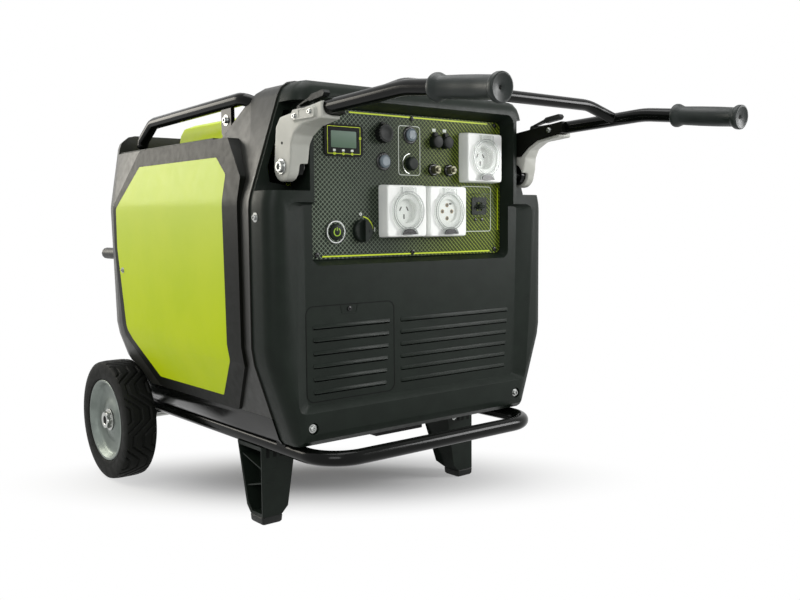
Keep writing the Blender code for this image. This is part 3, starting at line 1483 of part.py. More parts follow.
def place_base(mats, root):
    part("base_frame", build_base_frame(), mats["black_steel"], root)
    part("base_tray", build_base_tray(), mats["black_steel"], root)
    part("axle", build_axle(), mats["zinc"], root)
    for side, word in ((-1, "left"), (1, "right")):
        wheel = make_empty(f"{word}_wheel_axis", (side * WHEEL_MID_X, AXLE_Y, TYRE_RADIUS), root)
        part(f"{word}_tyre", build_tyre(side), mats["rubber"], wheel)
        part(f"{word}_rim", build_rim(side), mats["rim_steel"], wheel)
        part(f"{word}_leg", build_leg(side), mats["black_steel"], root)
        part(f"{word}_foot", build_foot(side), mats["rubber"], root)


def place_body(mats, root):
    part("front_cover", build_front_cover(), mats["black_plastic"], root)
    part("service_door", build_service_door(), mats["black_plastic"], root)
    part("front_hoop", build_front_hoop(), mats["hoop_plastic"], root)
    part("rear_cover", build_rear_cover(), mats["black_plastic"], root)
    part("top_deck", build_top_deck(), mats["black_plastic"], root)
    part("fuel_tank", build_fuel_tank(), mats["lime_panel"], root)
    cap = make_empty("fuel_cap_axis", (0, CAP_Y, TANK_TOP_Z), root)
    part("fuel_cap", build_fuel_cap(), mats["black_plastic"], cap)
    part("exhaust_outlet", build_exhaust_outlet(), mats["zinc"], root)
    for side, word in ((-1, "left"), (1, "right")):
        part(f"{word}_side_frame", build_side_frame(side), mats["black_plastic"], root)
        part(f"{word}_side_panel", build_side_panel(side), mats["lime_panel"], root)
        part(f"{word}_top_rail", build_top_rail(side), mats["black_steel"], root)


def place_handle(mats, root):
    handle = make_empty("handle_axis", (0, PIVOT_Y, PIVOT_Z), root)
    part("handle_frame", build_handle_frame(), mats["black_steel"], handle)
    for side, word in ((-1, "left"), (1, "right")):
        part(f"{word}_handle_arm", build_handle_arm(side), mats["cast_grey"], handle)
        part(f"{word}_arm_cover", build_arm_cover(side), mats["black_plastic"], handle)
        part(f"{word}_grip", build_grip(side), mats["rubber"], handle)
        lever = make_empty(f"{word}_lever_axis", (side * HANDLE_TUBE_X, *lever_axis()), handle)
        part(f"{word}_lock_lever", build_lock_lever(side), mats["rubber"], lever)
        part(f"{word}_pivot_bolt", build_pivot_bolt(side), mats["zinc"], root)


def place_panel(mats, root):
    part("control_panel", build_control_panel(), mats["panel_face"], root)
    part("display", build_display(), mats["screen"], root)
    part("parallel_jacks", build_parallel_jacks(), mats["black_plastic"], root)
    part("output_terminals", build_output_terminals(), mats["brass"], root)
    moving = (
        ("start_button", START_AT, 0.0, build_start_button()),
        ("engine_switch_knob", KNOB_AT, 0.0, build_switch_knob()),
        ("remote_cap", REMOTE_CAP_AT, 0.0, build_knob(REMOTE_CAP_AT, 0.0125, 0.012)),
        ("eco_switch", ECO_AT, 0.0, build_rocker(ECO_AT)),
        ("remote_switch", REMOTE_AT, 0.0, build_rocker(REMOTE_AT)),
        ("breaker_switch", BREAKER_AT, PANEL_THICK / 2, build_breaker()),
    )
    for name, (x, z), y, obj in moving:
        axis = make_empty(f"{name}_axis", (x, y, z), root)
        part(name, obj, mats["black_plastic"], axis)
    x, z = DC_CAP_AT
    hinge = make_empty("dc_cap_axis", (x, -0.0040, z + DC_CAP_RADIUS + 0.003), root)
    part("dc_outlet_cap", build_dc_cap(), mats["rubber"], hinge)
    for name in SOCKETS_AT:
        part(f"{name}_socket", build_socket(name), mats["socket_white"], root)
        axis = make_empty(f"{name}_flap_axis", flap_hinge(name), root)
        part(f"{name}_flap", build_flap(name), mats["flap_clear"], axis)


def place_inside(mats, root):
    part("engine_block", build_engine_block(), mats["engine_metal"], root)
    part("alternator_stator", build_stator(), mats["engine_metal"], root)
    shaft = make_empty("rotor_axis", (0, ENGINE_FRONT_Y, CRANK_Z), root)
    part("alternator_rotor", build_rotor(), mats["zinc"], shaft)
    part("muffler", build_muffler(), mats["zinc"], root)
    part("inverter_module", build_inverter(), mats["engine_metal"], root)
    part("battery", build_battery(), mats["battery_case"], root)
    part("air_filter", build_air_filter(), mats["black_plastic"], root)


def middle_y():
    bpy.context.view_layer.update()
    reach = []
    for obj in bpy.data.objects:
        if obj.type == "MESH":
            reach += [(obj.matrix_world @ Vector(corner)).y for corner in obj.bound_box]
    return (min(reach) + max(reach)) / 2


def main():
    clear_scene()
    mats = build_materials()
    root = make_empty("generator", (0, 0, 0))
    place_base(mats, root)
    place_body(mats, root)
    place_handle(mats, root)
    place_panel(mats, root)
    place_inside(mats, root)
    root.location = (0, -middle_y(), 0)


main()
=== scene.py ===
"""Looks of the inverter generator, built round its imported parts."""

import json
from math import cos, hypot, pi, radians, sin

import bmesh
import bpy
from mathutils import Matrix, Vector
from mathutils.bvhtree import BVHTree

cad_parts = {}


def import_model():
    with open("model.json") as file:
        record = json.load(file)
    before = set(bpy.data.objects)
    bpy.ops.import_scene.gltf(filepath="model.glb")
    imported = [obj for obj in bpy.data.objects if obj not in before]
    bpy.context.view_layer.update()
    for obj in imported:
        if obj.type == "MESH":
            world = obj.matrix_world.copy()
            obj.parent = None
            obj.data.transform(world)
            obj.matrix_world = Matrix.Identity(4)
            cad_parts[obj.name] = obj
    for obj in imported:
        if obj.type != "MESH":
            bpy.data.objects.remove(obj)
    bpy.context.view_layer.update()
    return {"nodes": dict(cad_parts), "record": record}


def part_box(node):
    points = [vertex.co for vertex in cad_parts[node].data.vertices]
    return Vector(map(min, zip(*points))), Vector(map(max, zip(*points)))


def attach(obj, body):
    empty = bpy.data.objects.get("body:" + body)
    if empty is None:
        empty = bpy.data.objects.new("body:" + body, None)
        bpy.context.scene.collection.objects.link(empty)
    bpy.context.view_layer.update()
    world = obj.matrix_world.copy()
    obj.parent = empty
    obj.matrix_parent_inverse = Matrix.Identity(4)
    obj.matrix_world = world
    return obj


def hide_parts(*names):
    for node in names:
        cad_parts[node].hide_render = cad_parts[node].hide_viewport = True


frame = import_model()

NODES = frame["nodes"]

# The face of the panel plate, behind its raised start bezel
PANEL_THICK = 0.003
PANEL_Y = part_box("control_panel")[1].y - PANEL_THICK

# Directions and sides
OUT = Vector((0, -1, 0))
RIGHT = Vector((1, 0, 0))
UP = Vector((0, 0, 1))
SIDES = ((-1, "left"), (1, "right"))


# Shader graphs


class Graph:
    """A short way to add and join shader nodes."""

    def __init__(self, name):
        self.mat = bpy.data.materials.new(name)
        self.mat.use_nodes = True
        self.tree = self.mat.node_tree
        self.shader = self.tree.nodes["Principled BSDF"]
        self.coords = self.tree.nodes.new("ShaderNodeTexCoord").outputs["Object"]
        self.split = None

    def join(self, value, socket):
        if isinstance(value, bpy.types.NodeSocket):
            self.tree.links.new(value, socket)
        else:
            socket.default_value = value

    def math(self, operation, first, second=0.0, third=0.0):
        node = self.tree.nodes.new("ShaderNodeMath")
        node.operation = operation
        for value, socket in zip((first, second, third), node.inputs):
            self.join(value, socket)
        return node.outputs[0]

    def axis(self, name):
        if self.split is None:
            self.split = self.tree.nodes.new("ShaderNodeSeparateXYZ")
            self.join(self.coords, self.split.inputs[0])
        return self.split.outputs[name]

    def noise(self, scale, detail=3.0, rough=0.5, stretch=(1, 1, 1)):
        node = self.tree.nodes.new("ShaderNodeTexNoise")
        node.inputs["Scale"].default_value = scale
        node.inputs["Detail"].default_value = detail
        node.inputs["Roughness"].default_value = rough
        source = self.coords
        if stretch != (1, 1, 1):
            mapping = self.tree.nodes.new("ShaderNodeMapping")
            mapping.inputs["Scale"].default_value = stretch
            self.join(source, mapping.inputs["Vector"])
            source = mapping.outputs["Vector"]
        self.join(source, node.inputs["Vector"])
        return node.outputs["Fac"]

    def spread(self, value, low, high, to_low=0.0, to_high=1.0):
        node = self.tree.nodes.new("ShaderNodeMapRange")
        node.interpolation_type = "SMOOTHSTEP"
        for number, socket in zip((value, low, high, to_low, to_high), node.inputs):
            self.join(number, socket)
        return node.outputs[0]

    def mix(self, factor, first, second):
        node = self.tree.nodes.new("ShaderNodeMix")
        node.data_type = "RGBA"
        self.join(factor, node.inputs[0])
        for value, socket in zip((first, second), (node.inputs[6], node.inputs[7])):
            if isinstance(value, tuple):
                socket.default_value = (*value, 1.0)
            else:
                self.join(value, socket)
        return node.outputs[2]

    def bump(self, height, distance, strength=1.0):
        node = self.tree.nodes.new("ShaderNodeBump")
        node.inputs["Distance"].default_value = distance
        node.inputs["Strength"].default_value = strength
        self.join(height, node.inputs["Height"])
        self.join(node.outputs["Normal"], self.shader.inputs["Normal"])

    def set(self, **values):
        for name, value in values.items():
            socket = self.shader.inputs[name.replace("_", " ")]
            if isinstance(value, tuple):
                socket.default_value = (*value, 1.0)
            else:
                self.join(value, socket)


def shade(colour, factor):
    return tuple(min(1.0, part * factor) for part in colour)


# The part of a noise that is spread over a surface's whole range
NOISE_SPAN = (0.3, 0.7)
SHINE_SPAN = (0.25, 0.75)
UNEVEN = 0.12


def surface(
    name,
    colour,
    roughness,
    metallic=0.0,
    grain=900,
    depth=0.00012,
    mottle=0.12,
    shine=0.5,
    wear=30,
    stretch=(1, 1, 1),
):
    """A surface with fine grain, broad mottling and a little unevenness in its shine."""
    graph = Graph(name)
    factor = graph.spread(graph.noise(wear, 4.0), *NOISE_SPAN)
    tint = graph.mix(factor, shade(colour, 1 - mottle), shade(colour, 1 + mottle))
    limits = (roughness * (1 - UNEVEN), min(1.0, roughness * (1 + UNEVEN)))
    uneven = graph.spread(graph.noise(wear * 2.3, 5.0), *SHINE_SPAN, *limits)
    graph.set(Base_Color=tint, Roughness=uneven, Metallic=metallic, Specular_IOR_Level=shine)
    graph.bump(graph.noise(grain, 2.0, stretch=stretch), depth)
    return graph.mat


BLACK = (0.0080, 0.0118, 0.0088)
LIME = (0.500, 0.640, 0.004)
LIME_CLOUD = (0.64, 0.74, 0.02)
# Painted sheen: the pale colour the lime takes towards the top, in place of reflected light
LIME_PAINTED_SHEEN = (0.70, 0.78, 0.42)
PAINTED_SHEEN_HEIGHTS = (0.34, 0.76)
LINE_LIME = (0.560, 0.700, 0.010)


def lime_surface(name, pale):
    """Glossy lime, slightly paler towards the top: a painted sheen in place of reflected light."""
    graph = Graph(name)
    painted_sheen = graph.spread(graph.axis("Z"), *PAINTED_SHEEN_HEIGHTS, 0.0, pale)
    cloud = graph.spread(graph.noise(9, 4.0), *NOISE_SPAN, 0.0, 0.30)
    tint = graph.mix(painted_sheen, graph.mix(cloud, LIME, LIME_CLOUD), LIME_PAINTED_SHEEN)
    gloss = graph.spread(graph.noise(60, 4.0), *NOISE_SPAN, 0.30, 0.38)
    graph.set(Base_Color=tint, Roughness=gloss, Specular_IOR_Level=0.06)
    graph.bump(graph.noise(420, 1.0), 0.00008)
    return graph.mat


# Panel print: places are x in metres, inks and grounds run from the left to the right
LATTICE_PITCH = 0.0096
LATTICE_SLOPE = 1.08
LATTICE_LINE = (0.020, 0.085)
LIME_REACH = (-0.10, 0.17)
GREY_REACH = (-0.23, -0.03)
INKS = ((0.310, 0.375, 0.275), (0.460, 0.600, 0.045))
LEFT_GROUNDS = ((0.009, 0.014, 0.009), (0.014, 0.020, 0.013))
RIGHT_GROUND = (0.027, 0.040, 0.005)


def lattice_surface():
    """Dark printed panel with a fine diamond lattice that turns lime to the right."""
    graph = Graph("panel print")
    x = graph.axis("X")
    rise = graph.math("MULTIPLY", graph.axis("Z"), LATTICE_SLOPE)
    lines = []
    for operation in ("ADD", "SUBTRACT"):
        along = graph.math("DIVIDE", graph.math(operation, x, rise), LATTICE_PITCH)
        wave = graph.math("ABSOLUTE", graph.math("SUBTRACT", graph.math("FRACT", along), 0.5))
        lines.append(graph.spread(wave, *LATTICE_LINE, 1.0, 0.0))
    to_right = graph.spread(x, *LIME_REACH)
    to_left = graph.spread(x, *GREY_REACH, 1.0, 0.0)
    strength = graph.math("MAXIMUM", graph.math("MULTIPLY", to_left, 0.95), to_right)
    strength = graph.math("MULTIPLY_ADD", strength, 0.72, 0.28)
    weak = graph.math("MULTIPLY", lines[1], graph.spread(to_right, 0.2, 1.0, 1.0, 0.20))
    mask = graph.math("MULTIPLY", graph.math("MAXIMUM", lines[0], weak), strength)
    dark = graph.mix(graph.spread(graph.noise(40), *NOISE_SPAN), *LEFT_GROUNDS)
    ground = graph.mix(to_right, dark, RIGHT_GROUND)
    tint = graph.mix(mask, ground, graph.mix(to_right, *INKS))
    graph.set(Base_Color=tint, Roughness=0.42, Specular_IOR_Level=0.10)
    graph.bump(graph.noise(1200, 2.0), 0.00006)
    return graph.mat


# Liquid crystal: heights between which it grows paler, and its rows to the metre
SCREEN_HEIGHTS = (0.715, 0.748)
SCREEN_TINTS = ((0.085, 0.150, 0.095), (0.165, 0.235, 0.185))
SCREEN_ROW = (0.05, 0.09, 0.06)
SCREEN_ROWS = 1600


def screen_surface():
    """Grey-green liquid crystal under a clear window."""
    graph = Graph("liquid crystal")
    z = graph.axis("Z")
    rows = graph.math("FRACT", graph.math("MULTIPLY", z, SCREEN_ROWS))
    fine = graph.math("MULTIPLY", graph.spread(rows, 0.35, 0.65), 0.10)
    tint = graph.mix(graph.spread(z, *SCREEN_HEIGHTS), *SCREEN_TINTS)
    tint = graph.mix(fine, tint, SCREEN_ROW)
    graph.set(Base_Color=tint, Roughness=0.35, Specular_IOR_Level=0.15)
    graph.bump(graph.noise(300, 1.0), 0.00003)
    return graph.mat


def mix_shaders(tree, factor, first, second, target):
    """Blend two shaders and lead the blend to a target socket."""
    node = tree.nodes.new("ShaderNodeMixShader")
    for source, socket in zip((factor, first, second), node.inputs):
        tree.links.new(source, socket)
    tree.links.new(node.outputs[0], target)


def mix_into(graph, factor, second):
    """Blend a material's own shader with a second one."""
    target = graph.tree.nodes["Material Output"].inputs["Surface"]
    mix_shaders(graph.tree, factor, graph.shader.outputs[0], second, target)


CLEAR_TINT = (0.975, 0.980, 0.975, 1.0)


def clear_surface(name, tint, clear):
    """See-through plastic with a shine."""
    graph = Graph(name)
    graph.set(Base_Color=tint, Roughness=0.12)
    graph.bump(graph.noise(80, 2.0), 0.00004)
    window = graph.tree.nodes.new("ShaderNodeBsdfTransparent")
    window.inputs["Color"].default_value = CLEAR_TINT
    facing = graph.tree.nodes.new("ShaderNodeLayerWeight")
    facing.inputs["Blend"].default_value = 0.35
    share = graph.spread(facing.outputs["Facing"], 0.15, 0.95, clear, clear * 0.35)
    mix_into(graph, share, window.outputs[0])
    return graph.mat


LOOKS = {
    "black_plastic": surface("moulded black", BLACK, 0.40, grain=1400, shine=0.12),
    "hoop_plastic": surface(
        "hoop black", (0.0065, 0.0070, 0.0050), 0.44, grain=700, depth=0.00003, shine=0.40
    ),
    "black_steel": surface(
        "powder coat", (0.0025, 0.0030, 0.0025), 0.16, grain=260, depth=0.00002, shine=0.13
    ),
    "rubber": surface("rubber", (0.0085, 0.0100, 0.0090), 0.52, grain=1100, shine=0.22),
    "tyre": surface("tyre rubber", (0.0050, 0.0056, 0.0046), 0.62, grain=800, depth=0.0002, shine=0.10),
    "rim_steel": surface("plated rim", (0.165, 0.188, 0.172), 0.42, metallic=0.9, grain=300, depth=0.00008),
    "cast_grey": surface("painted casting", (0.40, 0.405, 0.365), 0.42, grain=500, mottle=0.04, shine=0.4),
    "zinc": surface("zinc", (0.42, 0.43, 0.41), 0.30, metallic=1.0, grain=400, depth=0.00008),
    "brass": surface("brass", (0.125, 0.122, 0.080), 0.42, metallic=0.8, grain=400, depth=0.00008),
    "socket_white": surface("socket body", (0.77, 0.80, 0.76), 0.40, grain=600, depth=0.00005, mottle=0.02),
    "engine_metal": surface("cast metal", (0.34, 0.34, 0.33), 0.5, metallic=0.8, grain=300, depth=0.0004),
    "battery_case": surface("battery case", (0.03, 0.035, 0.05), 0.5),
    "lime_panel": lime_surface("lime gloss", 0.30),
    "panel_face": lattice_surface(),
    "screen": surface("display frame", (0.0035, 0.0042, 0.0035), 0.30, shine=0.08),
    "flap_clear": clear_surface("clear flap", (0.82, 0.84, 0.82), 0.94),
}
TANK_LIME = lime_surface("tank lime", 0.0)
# Black for the side frames and arm covers: a darker base than moulded black, which is painted shade, with a
# lower shine of its own
SIDE_BLACK_PAINTED_SHADE = surface(
    "side frame black", (0.0035, 0.0040, 0.0028), 0.40, grain=900, depth=0.00003, shine=0.09
)
DARK_STEEL = surface("heated steel", (0.030, 0.030, 0.028), 0.45, metallic=0.7, grain=300)
GRIP = surface(
    "grip rubber", (0.0105, 0.0145, 0.0130), 0.42, grain=420, shine=0.26, stretch=(1, 0.05, 1)
)
# Near-black put into holes, slots and grooves: painted shade
PAINTED_SHADE = surface("dark recess", (0.003, 0.0035, 0.003), 0.7, shine=0.1)
CHROME = surface("bright steel", (0.38, 0.39, 0.38), 0.28, metallic=1.0, grain=500, depth=0.00005)
LIME_INK = surface("lime ink", LINE_LIME, 0.45, mottle=0.05, shine=0.3)
WHITE_INK = surface("white ink", (0.68, 0.72, 0.66), 0.5, mottle=0.05, shine=0.3)
GREEN_INK = surface("green symbol", (0.30, 0.48, 0.02), 0.45, mottle=0.05, shine=0.3)
ROCKER_BLUE = surface("rocker blue grey", (0.115, 0.150, 0.172), 0.30, mottle=0.10, wear=90)
LATCH_BLACK = surface("latch black", (0.0045, 0.0055, 0.0050), 0.25, shine=0.4)
# Near-black for the sockets' pin slots and holes: painted shade in them
PIN_PAINTED_SHADE = surface("pin hole", (0.02, 0.017, 0.012), 0.6, shine=0.2)
PIN_BRASS = surface("pin brass", (0.22, 0.16, 0.08), 0.4, metallic=0.6)
RING_WHITE = surface("socket ring", (0.82, 0.84, 0.81), 0.32, mottle=0.02)
FLAP_EDGE = clear_surface("flap edge", (0.42, 0.45, 0.43), 0.40)
LCD = screen_surface()
CLEAR_COVER = clear_surface("clear breaker cover", (0.20, 0.24, 0.16), 0.97)


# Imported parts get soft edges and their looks

SLOT_OF = {row["node"]: row["material_slot"] for row in frame["record"]["subparts"]}
EDGE = 0.0012
FINE_EDGE = 0.0005
WELD = 0.00002
FINE_NODES = (
    "display", "control_panel", "service_door", "parallel_jacks", "output_terminals",
    "start_button", "engine_switch_knob", "eco_switch", "remote_switch", "breaker_switch",
    "dc_outlet_cap", "remote_cap", "left_flap", "centre_flap", "upper_flap",
    "left_pivot_bolt", "right_pivot_bolt",
)
ROUND_NODES = ("front_hoop", "left_top_rail", "right_top_rail", "base_frame", "handle_frame", "axle")
SHARP = 32
ROUND_SHARP = 50


def soften(obj, width, angle):
    """Round the edges that are sharper than an angle in degrees."""
    mesh = obj.data
    if "custom_normal" in mesh.attributes:
        mesh.attributes.remove(mesh.attributes["custom_normal"])
    mesh.shade_smooth()
    weld = obj.modifiers.new("weld", "WELD")
    weld.merge_threshold = WELD
    bevel = obj.modifiers.new("soft edges", "BEVEL")
    bevel.width = width
    bevel.segments = 2
    bevel.limit_method = "ANGLE"
    bevel.angle_limit = radians(angle)
    bevel.use_clamp_overlap = True
    bevel.harden_normals = True


for node, obj in NODES.items():
    obj.data.materials.clear()
    obj.data.materials.append(LOOKS[SLOT_OF[node]])
    edge = FINE_EDGE if node in FINE_NODES else EDGE
    soften(obj, edge, ROUND_SHARP if node in ROUND_NODES else SHARP)
NODE_LOOKS = {
    "eco_switch": ROCKER_BLUE,
    "remote_switch": ROCKER_BLUE,
    "fuel_tank": TANK_LIME,
    "rear_cover": LOOKS["hoop_plastic"],
    # The side frames and arm covers take the darker black with painted shade
    "left_side_frame": SIDE_BLACK_PAINTED_SHADE,
    "right_side_frame": SIDE_BLACK_PAINTED_SHADE,
    "left_arm_cover": SIDE_BLACK_PAINTED_SHADE,
    "right_arm_cover": SIDE_BLACK_PAINTED_SHADE,
    "exhaust_outlet": DARK_STEEL,
    "muffler": DARK_STEEL,
}
for node, mat in NODE_LOOKS.items():
    NODES[node].data.materials[0] = mat


def round_casting(obj, voxel=0.0016, passes=9):
    """Give a casting the soft, even corners that come out of a mould."""
    obj.modifiers.clear()
    remesh = obj.modifiers.new("even mesh", "REMESH")
    remesh.mode = "VOXEL"
    remesh.voxel_size = voxel
    remesh.use_smooth_shade = True
    smooth = obj.modifiers.new("soft corners", "SMOOTH")
    smooth.factor = 0.5
    smooth.iterations = passes


# Shapes for the added details

PRINT = 0.0003
TINY = 1e-6


def add_object(name, data):
    obj = bpy.data.objects.new(name, data)
    bpy.context.scene.collection.objects.link(obj)
    return obj


def piece(name, bm, mat, body="generator", angle=35):
    bmesh.ops.recalc_face_normals(bm, faces=bm.faces)
    mesh = bpy.data.meshes.new(name)
    bm.to_mesh(mesh)
    bm.free()
    obj = add_object(name, mesh)
    mesh.materials.append(mat)
    mesh.shade_smooth()
    mesh.set_sharp_from_angle(angle=radians(angle))
    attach(obj, body)
    return obj


def across(axis):
    """Two directions square to an axis."""
    axis = Vector(axis).normalized()
    first = axis.cross(UP if abs(axis.z) < 0.9 else RIGHT).normalized()
    return first, axis.cross(first).normalized()


def six_lobes(turn):
    return 1 + 0.16 * cos(6 * turn)


def hexagon(turn):
    """The outline of a hexagon as a share of its corner radius."""
    return cos(pi / 6) / cos(turn % (pi / 3) - pi / 6)


def skin(bm, rings, closed=False):
    """Join rings of points into a tube, with its two ends capped or joined to each other."""
    pairs = list(zip(rings, rings[1:]))
    if closed:
        pairs.append((rings[-1], rings[0]))
    else:
        bm.faces.new(rings[0])
        bm.faces.new(rings[-1])
    count = len(rings[0])
    for low, high in pairs:
        for k in range(count):
            after = (k + 1) % count
            bm.faces.new((low[k], low[after], high[after], high[k]))


def lathe(bm, centre, axis, profile, segments=32, shaped=(), outline=six_lobes, closed=False):
    """Turn (radius, along) pairs about an axis; the rings numbered in shaped take an outline."""
    centre = Vector(centre)
    axis = Vector(axis).normalized()
    side, other = across(axis)
    rings = []
    for number, (radius, along) in enumerate(profile):
        ring = []
        for k in range(segments):
            turn = 2 * pi * k / segments
            size = radius * outline(turn) if number in shaped else radius
            ray = side * cos(turn) + other * sin(turn)
            ring.append(bm.verts.new(centre + axis * along + ray * size))
        rings.append(ring)
    skin(bm, rings, closed)


def turned(name, mat, centre, profile, segments, slot, body="generator", axis=OUT, angle=35, **shape):
    """A piece of its own that is turned about an axis."""
    bm = bmesh.new()
    lathe(bm, centre, axis, profile, segments, **shape)
    return piece(name, bm, mat, body, angle)


def slab(bm, outline, depth):
    """A flat plate: the outline's points, thickened by the vector depth."""
    low = [bm.verts.new(point) for point in outline]
    high = [bm.verts.new(Vector(point) + depth) for point in outline]
    skin(bm, [low, high])


def bar(bm, first, last, half, depth):
    """A straight strip between two points, its half width square to the vector depth."""
    side = (last - first).normalized().cross(depth).normalized() * half
    slab(bm, (first - side, last - side, last + side, first + side), depth)


def on_panel(x, z, out=0.0):
    return Vector((x, PANEL_Y - out, z))


def plate(bm, path, y, height):
    """A flat plate over an outline of (x, z) points, raised from the plane at y."""
    slab(bm, [Vector((x, y, z)) for x, z in path], OUT * height)


def strip(bm, start, end, width, y=PANEL_Y, height=PRINT):
    """A line between two (x, z) points, raised from the plane at y."""
    first, last = (Vector((x, y, z)) for x, z in (start, end))
    bar(bm, first, last, width / 2, OUT * height)


def flat_ring(bm, centre, inner, outer, height, start=0.0, end=2 * pi, segments=48):
    """A flat ring or arc that faces the front, angles from the horizontal."""
    closed = abs(end - start - 2 * pi) < TINY
    rows = []
    for k in range(segments if closed else segments + 1):
        turn = start + (end - start) * k / segments
        ray = RIGHT * cos(turn) + UP * sin(turn)
        row = []
        for radius, along in ((inner, 0), (inner, height), (outer, height), (outer, 0)):
            row.append(bm.verts.new(centre + ray * radius + OUT * along))
        rows.append(row)
    skin(bm, rows, closed)


def rectangle(x, z):
    return ((x[0], z[0]), (x[1], z[0]), (x[1], z[1]), (x[0], z[1]))


def moved(path, at):
    """An outline of (x, z) points moved to a place."""
    return [(at.x + x, at.z + z) for x, z in path]


def rounded_path(x, z, radii, steps=5):
    """The corners of a rounded rectangle as (x, z) points, with one radius or four."""
    points = []
    corners = ((x[1], z[1]), (x[0], z[1]), (x[0], z[0]), (x[1], z[0]))
    for quarter, (corner_x, corner_z) in enumerate(corners):
        radius = radii[quarter] if isinstance(radii, tuple) else radii
        middle_x = corner_x - radius * (1 if quarter in (0, 3) else -1)
        middle_z = corner_z - radius * (1 if quarter in (0, 1) else -1)
        for k in range(steps + 1):
            turn = (quarter + k / steps) * pi / 2
            points.append((middle_x + radius * cos(turn), middle_z + radius * sin(turn)))
    return points


def shrunk(first, second, inset):
    """Two spans drawn in by an inset at both their ends."""
    return [(low + inset, high - inset) for low, high in (first, second)]


def joined(path):
    """Each point of a closed path with the one after it."""
    return zip(path, [*path[1:], path[0]])


def outline_box(bm, x, z, radius, width, y=PANEL_Y, height=PRINT, steps=5):
    for start, end in joined(rounded_path(x, z, radius, steps)):
        if hypot(end[0] - start[0], end[1] - start[1]) > TINY:
            strip(bm, start, end, width, y, height)


def screw(name, centre, radius):
    """A black pan-head screw with a six-lobed recess, facing the front."""
    height = radius * 0.55
    profile = (
        (radius, 0.0),
        (radius, height * 0.35),
        (radius * 0.88, height * 0.78),
        (radius * 0.62, height),
        (radius * 0.42, height),
        (radius * 0.36, height * 0.25),
        (radius * 0.05, height * 0.2),
    )
    turned(name, LATCH_BLACK, centre, profile, 24, "black_plastic", shaped=(4, 5))


# Panel print and panel screws

LINE = 0.0026
THIN = 0.0011
BORDER_LINES = (
    ((-0.150, 0.7820), (0.205, 0.7820), LINE),
    ((-0.214, 0.5185), (0.213, 0.5185), LINE),
    ((0.2365, 0.562), (0.2365, 0.650), LINE * 0.8),
)
OUTLINE_BOXES = (((-0.033, 0.021), (0.671, 0.765)), ((0.130, 0.216), (0.560, 0.652)))
SCREW_ROWS = (("lower", 0.5215), ("upper", 0.7795))
SCREW_PLACES = (("left", -0.2265), ("middle", 0.0), ("right", 0.2265))

bm = bmesh.new()
for start, end, width in BORDER_LINES:
    strip(bm, start, end, width)
piece("panel_border_lines", bm, LIME_INK)
bm = bmesh.new()
for x, z in OUTLINE_BOXES:
    outline_box(bm, x, z, 0.006, THIN)
piece("panel_outline_boxes", bm, WHITE_INK)
for row, z in SCREW_ROWS:
    for place, x in SCREW_PLACES:
        screw(f"panel_screw_{row}_{place}", on_panel(x, z), 0.0048)


# Display window


def face_of(node):
    """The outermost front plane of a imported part."""
    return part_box(node)[0].y


DISPLAY_Y = face_of("display")
LCD_X = (-0.1935, -0.1365)
LCD_Z = (0.7165, 0.7465)
FRAME_X = (-0.2010, -0.1275)
FRAME_Z = (0.7055, 0.7545)
FRAME_LINE = 0.0010
ICONS_X = (-0.186, -0.166, -0.146)
ICON_HALF = 0.003
ICON_Z = (0.7095, 0.7135)
SIDE_KEY = (FRAME_X[1], 0.735)

bm = bmesh.new()
plate(bm, rounded_path(LCD_X, LCD_Z, 0.002), DISPLAY_Y, 0.0004)
piece("liquid_crystal", bm, LCD)
bm = bmesh.new()
for start, end in joined(rectangle(FRAME_X, FRAME_Z)):
    strip(bm, start, end, FRAME_LINE, DISPLAY_Y)
for x, z in (*((x, FRAME_Z[0]) for x in ICONS_X), SIDE_KEY):
    flat_ring(bm, Vector((x, DISPLAY_Y, z)), 0.0014, 0.0026, 0.0005, segments=20)
piece("display_frame_lines", bm, LIME_INK)
bm = bmesh.new()
for x in ICONS_X:
    plate(bm, rounded_path((x - ICON_HALF, x + ICON_HALF), ICON_Z, 0.001), DISPLAY_Y, PRINT)
piece("display_icons", bm, WHITE_INK)


# Start button and engine knob


def middle_of(node):
    low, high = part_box(node)
    return (low + high) / 2


def touch(node, start, toward):
    """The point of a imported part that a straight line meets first, and the way it faces."""
    mesh = NODES[node].data
    tree = BVHTree.FromPolygons([v.co for v in mesh.vertices], [p.vertices for p in mesh.polygons])
    point, normal, _, _ = tree.ray_cast(Vector(start), Vector(toward))
    return point, normal


SYMBOL = 0.0004
START = middle_of("start_button")
START_RING = (
    (0.0216, 0.0), (0.0216, 0.0030), (0.0206, 0.0052),
    (0.0186, 0.0052), (0.0174, 0.0036), (0.0162, 0.0),
)
START_BAR = rectangle((-0.0008, 0.0008), (0.002, 0.0085))
turned("start_bezel", CHROME, on_panel(START.x, START.z), START_RING, 48, "zinc")
front = Vector((START.x, face_of("start_button"), START.z))
bm = bmesh.new()
flat_ring(bm, front, 0.0062, 0.0080, SYMBOL, radians(120), radians(420))
plate(bm, moved(START_BAR, front), front.y, SYMBOL)
piece("start_symbol", bm, GREEN_INK, "start_button")

KNOB = middle_of("engine_switch_knob")
